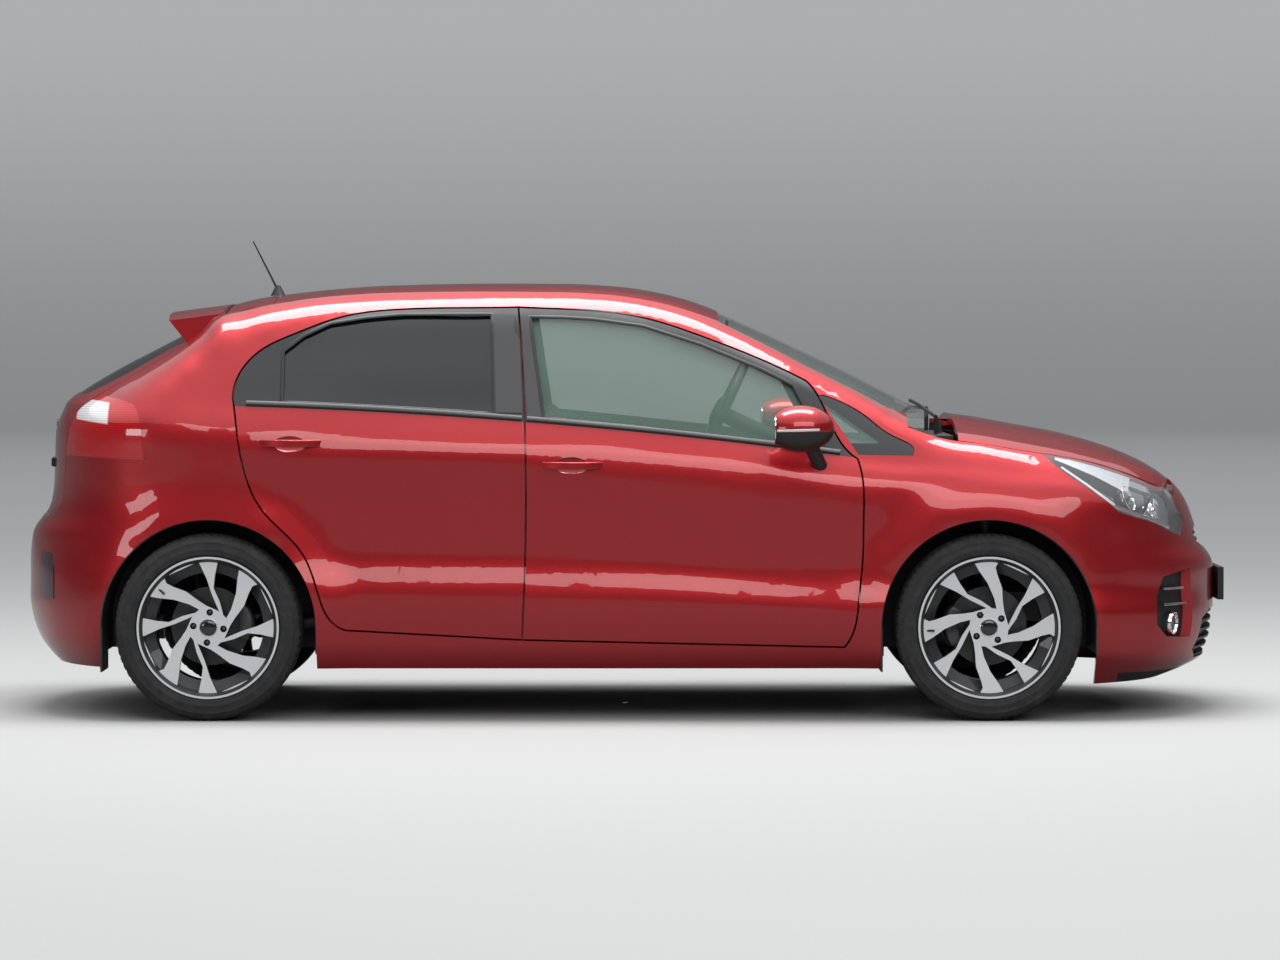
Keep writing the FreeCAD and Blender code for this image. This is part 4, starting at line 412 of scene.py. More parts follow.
def piece(name, points, faces, material, body, bevel=0.0, rounds=2):
    """A mesh of the car that rides on a body, its faces turned outwards."""
    mesh = bpy.data.meshes.new(name)
    mesh.from_pydata([tuple(p) for p in points], [], faces)
    bm = bmesh.new()
    bm.from_mesh(mesh)
    bmesh.ops.remove_doubles(bm, verts=bm.verts, dist=0.00005)
    bmesh.ops.recalc_face_normals(bm, faces=bm.faces)
    if bevel:
        edges = [e for e in bm.edges if len(e.link_faces) == 2 and e.calc_face_angle(0) > 0.6]
        bmesh.ops.bevel(bm, geom=edges, offset=bevel, segments=rounds, profile=0.5,
                        affect="EDGES", clamp_overlap=True)
    for face in bm.faces:
        face.smooth = True
    for edge in bm.edges:
        if len(edge.link_faces) == 2 and edge.calc_face_angle(0) > 0.7:
            edge.smooth = False
    bm.to_mesh(mesh)
    bm.free()
    mesh.materials.append(material.material)
    obj = bpy.data.objects.new(name, mesh)
    scene.collection.objects.link(obj)
    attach(obj, body)
    return obj


def grid_faces(rows, columns, start=0, round_rows=False, round_columns=False):
    """Quads of a grid of points stored row by row."""
    faces = []
    for i in range(rows if round_rows else rows - 1):
        for j in range(columns if round_columns else columns - 1):
            a = start + i * columns + j
            b = start + i * columns + (j + 1) % columns
            c = start + (i + 1) % rows * columns + (j + 1) % columns
            d = start + (i + 1) % rows * columns + j
            faces.append((a, b, c, d))
    return faces


def strip(name, line, normals, section, material, body, closed=False):
    """A moulding: section points are (across, out), carried along line on the skin's normals."""
    points = []
    count = len(line)
    for i, (place, normal) in enumerate(zip(line, normals)):
        ahead = line[(i + 1) % count] if closed or i + 1 < count else line[i]
        behind = line[i - 1] if closed or i else line[i]
        way = (ahead - behind).normalized()
        across = way.cross(normal).normalized()
        points += [place + across * a + normal * b for a, b in section]
    faces = grid_faces(count, len(section), round_rows=closed, round_columns=True)
    if not closed:
        last = (count - 1) * len(section)
        faces += [tuple(range(len(section))), tuple(range(last, last + len(section)))]
    return piece(name, points, faces, material, body)


def flat_section(width, out, sunk=0.002):
    """A low moulding's section with softened edges."""
    w = width / 2
    return [(-w, -sunk), (-w, out * 0.6), (-w * 0.75, out), (w * 0.75, out), (w, out * 0.6),
            (w, -sunk)]


def tube(name, line, radius, material, body, count=10, closed=False, taper=None):
    """A round bar along a line."""
    points = []
    normal = None
    for i, place in enumerate(line):
        ahead = line[(i + 1) % len(line)] if closed or i + 1 < len(line) else place
        behind = line[i - 1] if closed or i else place
        way = (ahead - behind).normalized()
        if normal is None:
            normal = way.orthogonal().normalized()
        normal = (normal - way * normal.dot(way)).normalized()
        other = way.cross(normal)
        r = radius * (taper[i] if taper else 1)
        for k in range(count):
            a = math.tau * k / count
            points.append(place + normal * (r * math.cos(a)) + other * (r * math.sin(a)))
    faces = grid_faces(len(line), count, round_rows=closed, round_columns=True)
    if not closed:
        last = (len(line) - 1) * count
        faces += [tuple(range(count)), tuple(range(last, last + count))]
    return piece(name, points, faces, material, body)


def lathe(name, profile, centre, axis, material, body, count=48, closed=False):
    """A turned piece: profile points are (radius, place along the axis)."""
    axis = Vector(axis).normalized()
    one = axis.orthogonal().normalized()
    two = axis.cross(one)
    points = []
    for k in range(count):
        a = math.tau * k / count
        way = one * math.cos(a) + two * math.sin(a)
        points += [Vector(centre) + way * r + axis * h for r, h in profile]
    return piece(name, points, grid_faces(count, len(profile), round_rows=True,
                                          round_columns=closed), material, body)


def block(name, low, high, material, body, bevel, taper=(0, 0)):
    """A block with rounded edges; taper narrows its top by shares of x and y."""
    (a, b, c), (d, e, f) = low, high
    tx, ty = taper
    mx, my = (d - a) / 2 * tx, (e - b) / 2 * ty
    points = [(a, b, c), (d, b, c), (d, e, c), (a, e, c), (a + mx, b + my, f), (d - mx, b + my, f),
              (d - mx, e - my, f), (a + mx, e - my, f)]
    faces = [(0, 3, 2, 1), (4, 5, 6, 7), (0, 1, 5, 4), (1, 2, 6, 5), (2, 3, 7, 6), (3, 0, 4, 7)]
    return piece(name, points, faces, material, body, bevel=bevel, rounds=3)


def sheet_on(name, grid, thick, material, body):
    """A thin panel that follows a grid of (point, normal) pairs on the skin."""
    rows, columns = len(grid), len(grid[0])
    top = [p + n * thick for row in grid for p, n in row]
    low = [p - n * 0.001 for row in grid for p, n in row]
    faces = grid_faces(rows, columns) + grid_faces(rows, columns, rows * columns)
    rim = ([(0, j) for j in range(columns)] + [(i, columns - 1) for i in range(1, rows)]
           + [(rows - 1, j) for j in range(columns - 2, -1, -1)]
           + [(i, 0) for i in range(rows - 2, 0, -1)])
    for (i, j), (k, l) in zip(rim, rim[1:] + rim[:1]):
        a, b = i * columns + j, k * columns + l
        faces.append((a, b, b + rows * columns, a + rows * columns))
    return piece(name, top + low, faces, material, body)


# exterior trim
doors = {s: tree_of("door_panel_" + s) for s in ("fr", "fl", "rr", "rl")}
SIDES = (("r", -1), ("l", 1))
SEAL_STEP = 0.03


def belt(x):
    """Height of the lower window line along the car."""
    return BELT[0] + BELT[1] * x + BELT[2] * x * x


def skin_line(tree, pairs, side, out=0.0):
    """Points and normals on the side skin under a list of (x, z) places."""
    return gather([from_side(tree, x, z, side) for x, z in pairs], out)


front_window = [(-0.262, 1.003), (-0.309, 1.325), (-0.201, 1.323), (-0.100, 1.3165),
                (0.059, 1.295), (0.249, 1.234), (0.450, 1.152), (0.555, 1.100), (0.655, 0.9046),
                (0.300, 0.9436), (0.018, 0.9754)]
rear_window = [(-1.123, 1.055), (-0.907, 1.0455), (-0.650, 1.0317), (-0.4345, 1.0173),
               (-0.4448, 1.3337), (-0.599, 1.333), (-0.743, 1.3323), (-0.856, 1.322),
               (-0.974, 1.303), (-1.062, 1.2615), (-1.123, 1.2138)]


def grow(outline, out):
    """A side-view outline moved outwards."""
    count = len(outline)
    area = sum(outline[i - 1][0] * outline[i][1] - outline[i][0] * outline[i - 1][1]
               for i in range(count))
    turn = 1 if area > 0 else -1
    moved = []
    for i, (x, z) in enumerate(outline):
        ax, az = outline[i - 1]
        bx, bz = outline[(i + 1) % count]
        one = Vector((z - az, ax - x)).normalized() * turn
        two = Vector((bz - z, x - bx)).normalized() * turn
        way = (one + two) / max(0.35, 1 + one.dot(two))
        moved.append((x + way.x * out, z + way.y * out))
    return moved


def dense(outline):
    """More points along a closed outline's straight runs."""
    points = []
    for i, (x, z) in enumerate(outline):
        u, w = outline[(i + 1) % len(outline)]
        count = max(1, int(math.hypot(u - x, w - z) / SEAL_STEP))
        points += [(x + (u - x) * k / count, z + (w - z) * k / count) for k in range(count)]
    return points


for suffix, side in SIDES:
    for front, outline in (("f", front_window), ("r", rear_window)):
        name = front + suffix
        pairs = dense(grow(outline, 0.006))
        line, normals = skin_line(doors[name], pairs, side)
        strip("window_seal_" + name, line, normals, flat_section(0.012, 0.0025), BLACK,
              "door_" + name, closed=True)
    for front, low, high in (("f", -0.321, 0.755), ("r", -1.285, -0.338)):
        name = front + suffix
        xs = [low + (high - low) * i / 24 for i in range(25)]
        line, normals = skin_line(doors[name], [(x, belt(x) - 0.013) for x in xs], side)
        strip("belt_strip_" + name, line, normals,
              [(-0.009, -0.002), (-0.009, 0.003), (-0.004, 0.0065), (0.006, 0.0065),
               (0.010, 0.003), (0.010, -0.002)], BLACK, "door_" + name)
    # Pillar covers behind the front window and ahead of the rear one
    for front, corners in (("f", ((-0.320, -0.268, 1.000), (-0.344, -0.312, 1.330))),
                           ("r", ((-0.429, -0.337, 1.014), (-0.441, -0.350, 1.336)))):
        name = front + suffix
        rows = []
        for i in range(13):
            t = i / 12
            (a, b, z), (c, d, w) = corners
            x_low, x_high, height = a + (c - a) * t, b + (d - b) * t, z + (w - z) * t
            row = []
            for j in range(6):
                found = from_side(doors[name], x_low + (x_high - x_low) * j / 5, height, side)
                row.append(found or row[-1])
            rows.append(row)
        sheet_on("pillar_cover_" + name, rows, 0.0022, SATIN, "door_" + name)

# wheels
# Each wheel's middle along and across the car, and its turn in degrees in the photograph
WHEELS = {"fr": (1.2, -0.747, 41), "fl": (1.2, 0.747, 41), "rr": (-1.37, -0.75, 0),
          "rl": (-1.37, 0.75, 0)}
AXLE_UP = 0.308
# Tread blocks round the tyre, points to a block, and how far the blocks lean and are cut
PITCHES = 72
PITCH_STEPS = 5
TREAD_LEAN = 0.035
SHOULDER_CUT = 0.0045
RIB_CUT = 0.0035
CALIPER_ROWS = 15


def tyre_look(name, x, y):
    """The tyre with ribs on its walls, four round grooves and cut shoulder blocks."""
    wall = [(0.2222, 0.0762), (0.2222, 0.0865), (0.2343, 0.0867), (0.2375, 0.0925),
            (0.2405, 0.0975), (0.2440, 0.0992), (0.2450, 0.0985), (0.2560, 0.1016),
            (0.2580, 0.1022), (0.2600, 0.1016), (0.2700, 0.1012), (0.2800, 0.0994),
            (0.2815, 0.1000), (0.2830, 0.0988), (0.2920, 0.0945), (0.2985, 0.0895)]
    tread = [(0.3030, 0.0840), (0.3055, 0.0790), (0.3066, 0.0740), (0.3070, 0.0600),
             (0.3072, 0.0545), (0.3005, 0.0535), (0.3005, 0.0470), (0.3073, 0.0460),
             (0.3077, 0.0340), (0.3077, 0.0215), (0.3005, 0.0205), (0.3005, 0.0135),
             (0.3078, 0.0125), (0.3079, 0.0060)]
    outer = wall + tread + [(0.3079, 0.0)]
    inside = [(0.2650, 0.0920), (0.2940, 0.0765), (0.2955, 0.0)]
    profile = ([(r, h) for r, h in outer] + [(r, -h) for r, h in reversed(outer[:-1])]
               + [(r, -h) for r, h in inside] + [(r, h) for r, h in reversed(inside[:-1])])
    count = PITCHES * PITCH_STEPS
    points = []
    for k in range(count):
        a = math.tau * k / count
        for r, h in profile:
            turn = 0.0
            if r > 0.300 and abs(h) > 0.0005:
                turn = math.copysign(1, h) * TREAD_LEAN * min(1, abs(h) / 0.08)
                if k % PITCH_STEPS == 0 and abs(h) > 0.056 and r > 0.302:
                    r -= SHOULDER_CUT
                if k % (2 * PITCH_STEPS) < 2 and 0.024 < abs(h) < 0.05 and r > 0.302:
                    r -= RIB_CUT
            points.append((x + r * math.cos(a + turn), y + h, AXLE_UP + r * math.sin(a + turn)))
    obj = piece("tyre_look_" + name, points,
                grid_faces(count, len(profile), round_rows=True, round_columns=True), TYRE,
                "wheel_" + name)
    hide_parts("tyre_" + name)


for name, (x, y, lead) in WHEELS.items():
    side = -1 if y < 0 else 1
    body = "wheel_" + name
    tyre_look(name, x, y)
    hub = Vector((x, y + side * 0.070, AXLE_UP))
    out = (0, side, 0)
    lathe("hub_cap_" + name, [(0, 0.0070), (0.010, 0.0068), (0.019, 0.0058), (0.0240, 0.0040),
                              (0.0262, 0.0018), (0.0262, -0.004), (0, -0.004)],
          hub, out, GLOSS, body, 40)
    lathe("cap_ring_" + name, [(0.0263, -0.003), (0.0263, 0.0028), (0.0275, 0.0040),
                               (0.0292, 0.0030), (0.0300, -0.003)], hub, out, ALLOY, body, 40,
          closed=True)
    for k in range(4):
        a = math.radians(-5.5 + lead + 90 * k)
        place = hub + Vector((-side * 0.050 * math.cos(a), -side * 0.0225, 0.050 * math.sin(a)))
        lathe("wheel_bolt_%s_%d" % (name, k),
              [(0, 0.0155), (0.0050, 0.0155), (0.0078, 0.0135), (0.0084, 0.0120), (0.0084, 0.0030),
               (0.0102, 0.0022), (0.0102, 0.0), (0, 0)], place, out, STEEL, body, 6)
    a = math.radians(lead + 142)
    way = Vector((-side * math.cos(a), 0, math.sin(a)))
    start = Vector((x, y + side * 0.079, AXLE_UP)) + way * 0.2035
    tube("valve_" + name, [start, start - way * 0.012 + Vector(out) * 0.006,
                           start - way * 0.022 + Vector(out) * 0.014], 0.0036, GRAIN, body, 8)
    # The brake caliper holds on the carrier, or on the rear axle
    body = {"fr": "knuckle_r", "fl": "knuckle_l"}.get(name, "car_body")
    rows = []
    for k in range(CALIPER_ROWS):
        a = math.radians(150 + 60 * k / 14) if x > 0 else math.radians(-20 + 50 * k / 14)
        ends = math.sin(math.pi * (k + 0.6) / 15.2) ** 0.4
        for r, h in ((0.098, 0.010), (0.136 - 0.006 * (1 - ends), 0.012),
                     (0.148 - 0.016 * (1 - ends), 0.004), (0.150 - 0.018 * (1 - ends), -0.050),
                     (0.140 - 0.012 * (1 - ends), -0.070), (0.098, -0.070), (0.098, -0.047),
                     (0.134, -0.047), (0.134, -0.016), (0.098, -0.016)):
            rows.append((x + r * math.cos(a), y + side * h, AXLE_UP + r * math.sin(a)))
    last = 10 * (CALIPER_ROWS - 1)
    piece("caliper_" + name, rows, grid_faces(CALIPER_ROWS, 10, round_columns=True)
          + [tuple(range(10)), tuple(range(last, last + 10))], STEEL, body, bevel=0.002)

# mirrors
GLASS_POINTS = 36
for suffix, side in SIDES:
    node = "mirror_right" if side < 0 else "mirror_left"
    body = "door_f" + suffix
    shell = tree_of(node)
    rows = []
    for i in range(15):
        t = math.tau * i / 15
        rows.append(strike(shell, (0.30, side * (0.925 + 0.060 * math.cos(t)),
                                   0.965 + 0.048 * math.sin(t)), (1, 0, 0)))
    flat = min(r[0].x for r in rows if r) - 0.0012
    centre = Vector((flat, side * 0.925, 0.965))
    points = []
    for ring, depth in ((1.0, 0.0004), (0.985, -0.0006), (0.5, -0.0012), (0.0, -0.0014)):
        for k in range(GLASS_POINTS):
            a = math.tau * k / GLASS_POINTS
            c, s = math.cos(a), math.sin(a)
            r = (abs(c) ** 3 + abs(s) ** 3) ** (-1 / 3) * ring
            points.append(centre + Vector((depth, side * 0.060 * r * c, 0.043 * r * s)))
    back = [p + Vector((0.0030, 0, 0)) for p in points[:GLASS_POINTS]]
    faces = grid_faces(4, GLASS_POINTS, round_columns=True)
    behind = 4 * GLASS_POINTS
    for k in range(GLASS_POINTS):
        after = (k + 1) % GLASS_POINTS
        faces.append((k, after, behind + after, behind + k))
    faces.append(tuple(range(behind, behind + GLASS_POINTS)))
    piece("mirror_glass_" + suffix, points + back, faces, MIRROR, body)
    line, normals = gather([strike(shell, (0.485 + 0.150 * i / 23, side * 1.2,
                                           0.9585 + 0.004 * i / 23), (0, -side, 0))
                            for i in range(24)])
    strip("mirror_indicator_" + suffix, line, normals, flat_section(0.008, 0.0016), INDICATOR,
          body)


# cabin
CROWN = 0.012


def pad(name, half, radius, shape, place, tilt, material, body, cuts=26):
    """A stuffed cushion: a rounded block crowned and seamed by shape, tilted about the Y axis."""
    bm = bmesh.new()
    bmesh.ops.create_cube(bm, size=2)
    bmesh.ops.subdivide_edges(bm, edges=bm.edges, cuts=cuts, use_grid_fill=True)
    turn = Matrix.Rotation(math.radians(tilt), 3, "Y")
    for vert in bm.verts:
        u = vert.co.copy()
        p = Vector(u[i] * half[i] for i in range(3))
        core = Vector(max(-half[i] + radius, min(half[i] - radius, p[i])) for i in range(3))
        away = p - core
        if away.length > 0:
            p = core + away.normalized() * min(radius, away.length)
        vert.co = turn @ shape(p, u) + Vector(place)
    for face in bm.faces:
        face.smooth = True
    mesh = bpy.data.meshes.new(name)
    bm.to_mesh(mesh)
    bm.free()
    mesh.materials.append(material.material)
    obj = bpy.data.objects.new(name, mesh)
    scene.collection.objects.link(obj)
    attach(obj, body)


def ease(value, low, high):
    """0 below low, 1 above high, smooth between."""
    t = min(1.0, max(0.0, (value - low) / (high - low)))
    return t * t * (3 - 2 * t)


def groove(value, place, width):
    """1 at a place and falling off to both sides of it, for sewn channels."""
    return math.exp(-((value - place) / width) ** 2)


def cushion_shape(bolster, seams):
    """A seat cushion or back: raised sides, sewn channels and a soft crown on the +Z face."""
    def shape(p, u):
        top = max(0.0, u.z)
        lift = bolster * ease(abs(u.y), 0.55, 0.80) * (1 - ease(abs(u.y), 0.90, 1.0))
        lift += CROWN * (1 - u.x * u.x) * (1 - min(1, (u.y / 0.62) ** 2)) * ease(u.z, 0.0, 1.0)
        lift -= 0.010 * groove(abs(u.y), 0.60, 0.035)
        for seam in seams:
            if abs(u.y) < 0.66:
                lift -= 0.007 * groove(u.x, seam, 0.035)
        q = p.copy()
        q.z += lift * ease(top, 0.2, 1.0)
        q.y *= 1 - 0.03 * u.z * u.z * abs(u.x)
        return q
    return shape


def soft_shape(crown):
    """A headrest or plain pad that swells in the middle of each face."""
    def shape(p, u):
        swell = 1 + crown * (1 - u.x * u.x) * (1 - u.y * u.y) * (1 - 0.4 * u.z * u.z)
        return Vector((p.x * swell, p.y, p.z * (1 + 0.02 * (1 - u.y * u.y))))
    return shape


def back_shape(bolster, seams):
    """The same as a cushion's, but on the face towards +X, with seams up its height."""
    flat = cushion_shape(bolster, seams)

    def shape(p, u):
        q = flat(Vector((p.z, p.y, p.x)), Vector((u.z, u.y, u.x)))
        return Vector((q.z, q.y * (1 - 0.10 * max(0, u.z)), q.x))
    return shape


def front_seat(suffix, y):
    """Cushion, back and headrest over a plain base, which is returned."""
    pad("seat_cushion_" + suffix, (0.262, 0.246, 0.070), 0.048,
        cushion_shape(0.024, (-0.35, 0.25, 0.72)), (0.116, y, 0.408), -3, CLOTH, "car_body")
    pad("seat_back_" + suffix, (0.052, 0.236, 0.305), 0.045,
        back_shape(0.028, (-0.55, -0.1, 0.35, 0.72)), (-0.218, y, 0.724), -20, CLOTH, "car_body")
    pad("seat_headrest_" + suffix, (0.038, 0.126, 0.072), 0.032, soft_shape(0.14),
        (-0.347, y, 1.078), -20, CLOTH, "car_body", cuts=14)
    for k, side in enumerate((-1, 1)):
        foot = Vector((-0.316, y + side * 0.055, 0.990))
        tube("headrest_post_%s%d" % (suffix, k), [foot, foot + Vector((-0.020, 0, 0.055))],
             0.0055, CHROME, "car_body")
    return block("seat_base_" + suffix, (-0.10, y - 0.2, 0.2302), (0.33, y + 0.2, 0.352), GRAIN,
                 "car_body", 0.012, (0.04, -0.10))


low = [front_seat(suffix, side * 0.355) for suffix, side in SIDES][0]
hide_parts("front_seats")
bench = block("rear_bench_base", (-0.84, -0.56, 0.2302), (-0.45, 0.56, 0.352), GRAIN, "car_body",
              0.012)
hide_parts("rear_seat")
for suffix, side in SIDES:
    y = side * 0.300
    pad("rear_cushion_" + suffix, (0.228, 0.298, 0.068), 0.045,
        cushion_shape(0.010, (-0.3, 0.35)), (-0.630, y, 0.412), -4, CLOTH, "car_body")
    pad("rear_back_" + suffix, (0.054, 0.297, 0.285), 0.045, back_shape(0.012, (-0.5, 0.0, 0.5)),
        (-0.958, y, 0.690), -22, CLOTH, "car_body")
    pad("rear_headrest_" + suffix, (0.036, 0.118, 0.066), 0.030, soft_shape(0.14),
        (-1.086, side * 0.370, 1.006), -22, CLOTH, "car_body", cuts=14)

# Steering wheel over its stand-in, binnacle, screen, vents, gear lever and handbrake
HUB = Vector((0.337, 0.370, 0.992))
WAY = Vector((-0.903, 0, 0.429))
UPWARD = Vector((0.429, 0, 0.903))
LEFTWARD = Vector((0, 1, 0))
RIM_RADIUS = 0.185
ring = [HUB + (LEFTWARD * math.cos(math.tau * k / 64)
               + UPWARD * math.sin(math.tau * k / 64)) * RIM_RADIUS for k in range(64)]
tube("steering_rim", ring, 0.0172, LEATHER, "car_body", 12, closed=True)
lathe("steering_pad", [(0, 0.034), (0.030, 0.032), (0.052, 0.026), (0.064, 0.014), (0.066, -0.02),
                       (0.0, -0.02)], HUB, WAY, GRAIN, "car_body", 40)
for k, (a, b) in enumerate(((-1, 0.12), (1, 0.12), (-0.25, -1), (0.25, -1))):
    way = (LEFTWARD * a + UPWARD * b).normalized()
    tube("steering_spoke_%d" % k, [HUB + way * 0.045 + WAY * 0.012, HUB + way * 0.11 + WAY * 0.004,
                                   HUB + way * 0.172], 0.0125, ALLOY if k > 1 else GRAIN,
         "car_body", 10, taper=[1.3, 1.0, 0.9])
hood = []
for i in range(13):
    a = math.pi * i / 12
    for x, grow_by in ((0.548, 1.0), (0.600, 1.04), (0.700, 1.06)):
        hood.append((x, 0.370 - 0.175 * grow_by * math.cos(a),
                     0.862 + (0.086 * grow_by * math.sin(a) ** 0.7 if 0 < i < 12 else 0)))
shell = piece("binnacle_hood", hood, grid_faces(13, 3), GRAIN, "car_body")
solid = shell.modifiers.new("wall", "SOLIDIFY")
solid.thickness = 0.006
for k, y in enumerate((0.290, 0.450)):
    lathe("dial_%d" % k, [(0, 0.002), (0.052, 0.002), (0.056, 0.006), (0.060, 0.006),
                          (0.062, -0.004), (0, -0.004)], (0.622, y, 0.893), (-1, 0, 0.22),
          GLOSS, "car_body", 40)
block("dial_panel", (0.622, 0.205, 0.838), (0.634, 0.535, 0.935), GRAIN, "car_body", 0.004)
block("centre_screen", (0.556, -0.105, 0.775), (0.600, 0.105, 0.882), GLOSS, "car_body", 0.008)
block("heater_panel", (0.556, -0.100, 0.655), (0.604, 0.100, 0.752), GRAIN, "car_body", 0.008)
for k, y in enumerate((-0.060, 0.0, 0.060)):
    lathe("heater_knob_%d" % k, [(0, 0.018), (0.016, 0.018), (0.019, 0.014), (0.021, 0.0), (0, 0)],
          (0.556, y, 0.703), (-1, 0, 0), BLACK, "car_body", 28)
for k, y in enumerate((-0.560, -0.165, 0.165, 0.590)):
    lathe("air_vent_%d" % k, [(0, 0.004), (0.030, 0.004), (0.034, 0.010), (0.040, 0.008),
                              (0.042, -0.006), (0, -0.006)], (0.5735, y, 0.822), (-1, 0, 0.1),
          BLACK, "car_body", 32)
tube("gear_stick", [Vector((0.33, 0, 0.515)), Vector((0.325, 0, 0.58)), Vector((0.32, 0, 0.625))],
     0.009, CHROME, "car_body")
lathe("gear_knob", [(0, 0.030), (0.014, 0.028), (0.022, 0.018), (0.024, 0.004), (0.018, -0.016),
                    (0.010, -0.022), (0, -0.022)], (0.32, 0, 0.640), (0, 0, 1), LEATHER,
      "car_body", 28)
lathe("gear_gaiter", [(0.012, 0.060), (0.018, 0.045), (0.034, 0.020), (0.052, 0.004),
                      (0.056, -0.006), (0, -0.006)], (0.325, 0, 0.522), (0, 0, 1), LEATHER,
      "car_body", 28)
tube("handbrake", [Vector((0.10, 0.035, 0.528)), Vector((0.02, 0.035, 0.56)),
                   Vector((-0.06, 0.035, 0.59))], 0.014, GRAIN, "car_body", 12,
     taper=[0.8, 1.0, 1.05])


# lamps
HEAD_UPPER = [(1.400, 0.876), (1.477, 0.868), (1.574, 0.847), (1.664, 0.823), (1.745, 0.794),
              (1.803, 0.758), (1.836, 0.722)]
HEAD_LOWER = [(1.404, 0.868), (1.446, 0.825), (1.529, 0.768), (1.628, 0.693), (1.689, 0.670),
              (1.745, 0.653), (1.846, 0.610)]


def between(line, t):
    """A point at share t of a run of (x, z) places, counted by their number."""
    t = min(max(t, 0.0), 1.0) * (len(line) - 1)
    k = min(int(t), len(line) - 2)
    (a, b), (c, d) = line[k], line[k + 1]
    return a + (c - a) * (t - k), b + (d - b) * (t - k)


def lamp_sheet(name, tree, across, up, depth, material, side):
    """A sheet at a depth below a head lamp's face; across and up are shares of its outline."""
    rows, columns = 10, 24
    grid = []
    for i in range(rows):
        s = up[0] + (up[1] - up[0]) * i / (rows - 1)
        row = []
        for j in range(columns):
            t = across[0] + (across[1] - across[0]) * j / (columns - 1)
            (a, b), (c, d) = between(HEAD_UPPER, t), between(HEAD_LOWER, t)
            found = from_side(tree, c + (a - c) * s, d + (b - d) * s, side)
            if found:
                found = (found[0] - found[1] * depth, found[1])
            row.append(found or (row[-1] if row else grid[-1][j]))
        grid.append(row)
    sheet_on(name, grid, 0.0016, material, "car_body")


for suffix, side in SIDES:
    tree = tree_of("headlamps")
    for part, across, up, depth, material in (
            ("lamp_housing_", (0.10, 0.97), (0.05, 0.95), 0.034, GLOSS),
            ("lamp_bright_wedge_", (0.06, 0.55), (0.52, 0.97), 0.007, ALLOY),
            ("lamp_bright_front_", (0.78, 0.98), (0.10, 0.90), 0.022, CHROME)):
        lamp_sheet(part + suffix, tree, across, up, depth, material, side)
    under = [between(HEAD_LOWER, 0.16 + 0.80 * k / 23) for k in range(24)]
    line, normals = skin_line(tree, [(x, z + 0.012) for x, z in under], side, -0.010)
    strip("lamp_light_line_" + suffix, line, normals, flat_section(0.012, 0.004), CHROME,
          "car_body")
    for k, (x, z, size) in enumerate(((1.672, 0.742, 0.044), (1.780, 0.700, 0.036))):
        place, normal = from_side(tree, x, z, side)
        way = (normal + Vector((0.8, 0, 0))).normalized()
        foot = place - normal * 0.032
        lathe("lamp_bowl_%s%d" % (suffix, k),
              [(size, 0.016), (size * 0.96, 0.018), (size * 0.90, 0.010), (size * 0.74, 0.002),
               (0, -0.004), (0, -0.008), (size * 0.9, -0.004)], foot, way, CHROME, "car_body", 40)
        lathe("lamp_ball_%s%d" % (suffix, k),
              [(0, 0.020), (size * 0.25, 0.0185), (size * 0.46, 0.013), (size * 0.60, 0.004),
               (size * 0.62, -0.003), (0, -0.003)], foot, way, GLOSS if k == 0 else LENS,
              "car_body", 32)

# Fog lamps with their bright blades, rear reflectors, tailgate grip and high brake lamp
backing = tree_of("grilles")
for suffix, side in SIDES:
    for k, z in enumerate((0.427, 0.374)):
        pairs = [(1.778 + 0.112 * i / 11, z) for i in range(12)]
        line, normals = skin_line(backing, pairs, side, 0.016)
        strip("fog_blade_%s%d" % (suffix, k), line, normals, flat_section(0.009, 0.003, 0.003),
              CHROME, "car_body")
    place, normal = from_side(backing, 1.818, 0.312, side)
    way = (normal + Vector((0.5, 0, 0))).normalized()
    lathe("fog_ring_" + suffix, [(0.030, 0.004), (0.033, 0.014), (0.037, 0.014), (0.040, 0.004)],
          place, way, CHROME, "car_body", 36, closed=True)
    lathe("fog_glass_" + suffix, [(0, 0.012), (0.016, 0.011), (0.0295, 0.006), (0.0295, 0.002),
                                  (0, 0.002)], place, way, LENS, "car_body", 36)
    skin = tree_of("rear_bumper")
    grid = []
    for i in range(9):
        z = 0.392 + 0.152 * i / 8
        row = []
        for j in range(7):
            x = -1.900 - (0.052 + 0.006 * math.sin(math.pi * i / 8)) * j / 6
            row.append(from_side(skin, x, z, side) or (row[-1] if row else grid[-1][j]))
        grid.append(row)
    sheet_on("rear_reflector_" + suffix, grid, 0.0022, REFLECTOR, "car_body")
hatch = tree_of("tailgate_panel")
line, normals = gather([from_end(hatch, -0.30 + 0.60 * k / 20, 0.838, -1) for k in range(21)])
strip("tailgate_grip", line, normals, flat_section(0.030, 0.012), GLOSS, "tailgate_lid")
wing = tree_of("spoiler")
line, normals = gather([from_end(wing, -0.16 + 0.32 * k / 16, 1.338, -1) for k in range(17)])
strip("high_brake_lamp", line, normals, flat_section(0.012, 0.002), TAIL_RED, "tailgate_lid")

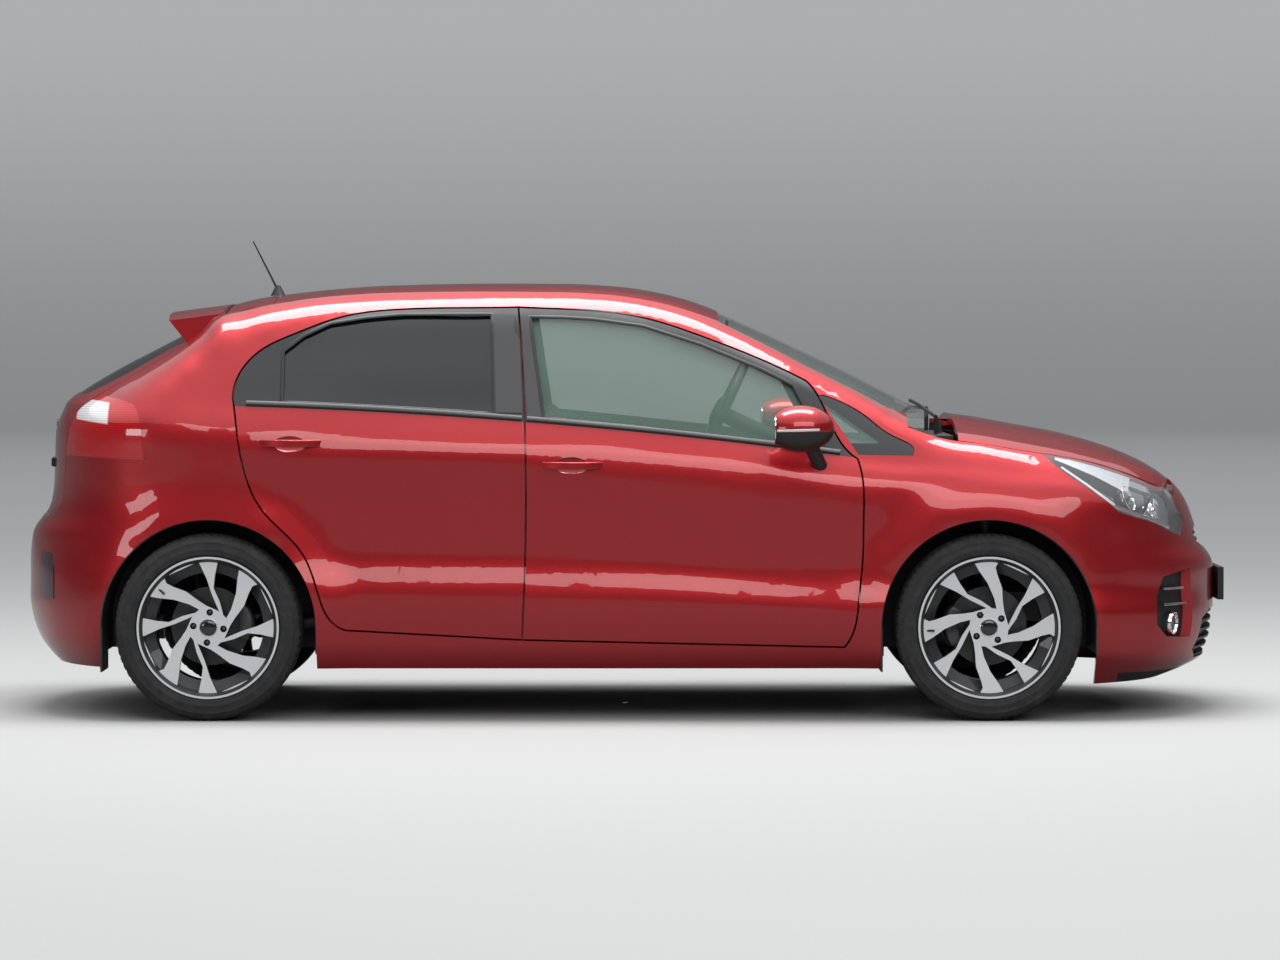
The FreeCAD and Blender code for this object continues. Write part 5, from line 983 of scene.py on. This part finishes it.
# A round floor that bends up into a wall far from the car
FLAT_RADIUS = 44
BEND = 8
WALL_TOP = 26
TURNS = 96
sweep = [(0.01, 0), (FLAT_RADIUS, 0)]
for k in range(1, 11):
    a = math.radians(9 * k)
    sweep.append((FLAT_RADIUS + BEND * math.sin(a), BEND - BEND * math.cos(a)))
sweep.append((FLAT_RADIUS + BEND, WALL_TOP))
points = [(r * math.cos(math.tau * k / TURNS), r * math.sin(math.tau * k / TURNS), z)
          for k in range(TURNS) for r, z in sweep]
floor_mesh = bpy.data.meshes.new("floor")
floor_mesh.from_pydata(points, [], grid_faces(TURNS, len(sweep), round_rows=True))
for face in floor_mesh.polygons:
    face.use_smooth = True
floor = bpy.data.objects.new("floor", floor_mesh)
scene.collection.objects.link(floor)
ground = Nodes("floor_painted_dark_in_reflections")
# Painted reflection and shade: the floor is pale only to the camera; in reflections and bounce
# light it is painted dark grey, standing in for dark ground
camera_ray = ground.add("ShaderNodeLightPath").outputs["Is Camera Ray"]
high = ground.step(ground.z, 0.0, 7.0)
pale = ground.mix(high, (0.40, 0.40, 0.395), (0.95, 0.95, 0.94))
ground.set(color=ground.mix(camera_ray, (0.22, 0.22, 0.22), pale), rough=0.9)
floor_mesh.materials.append(ground.material)

# A sky that brightens from the horizon upwards
world = bpy.data.worlds.new("studio")
scene.world = world
world.use_nodes = True
studio = world.node_tree
sky = studio.nodes["Background"]
direction = studio.nodes.new("ShaderNodeTexCoord")
split = studio.nodes.new("ShaderNodeSeparateXYZ")
ramp = studio.nodes.new("ShaderNodeMapRange")
for socket, value in (("From Min", 0.0), ("From Max", 0.9), ("To Min", 0.24), ("To Max", 1.25)):
    ramp.inputs[socket].default_value = value
studio.links.new(direction.outputs["Generated"], split.inputs[0])
studio.links.new(split.outputs[2], ramp.inputs["Value"])
studio.links.new(ramp.outputs[0], sky.inputs[1])
sky.inputs[0].default_value = (0.94, 0.97, 1.0, 1)


def area(name, place, aim, size, size_y, power):
    """A rectangular lamp that looks at aim."""
    light = bpy.data.lights.new(name, "AREA")
    light.shape = "RECTANGLE"
    light.size, light.size_y, light.energy = size, size_y, power
    obj = bpy.data.objects.new(name, light)
    obj.location = place
    way = Vector(aim) - Vector(place)
    obj.rotation_euler = way.to_track_quat("-Z", "Y").to_euler()
    scene.collection.objects.link(obj)


area("key", (2.0, -9.5, 5.0), (0, 0, 0.6), 8.5, 3.6, 330)
area("top", (0, 0, 7.6), (0, 0, 0.6), 6.5, 3.0, 760)
area("fill", (-6.0, -7.0, 1.6), (0, 0, 0.7), 3.5, 1.4, 70)

# The camera of the photograph, found from its wheels and far side
CAMERA_DROP = 1.79
camera_data = bpy.data.cameras.new("camera")
camera_data.lens = 145.7
camera_data.sensor_width = 36
camera_data.clip_end = 200
camera = bpy.data.objects.new("camera", camera_data)
camera.location = (0.051, -17.85, 1.326)
camera.rotation_euler = (math.radians(90 - CAMERA_DROP), 0, 0)
scene.collection.objects.link(camera)
scene.camera = camera
scene.view_settings.view_transform = "Standard"
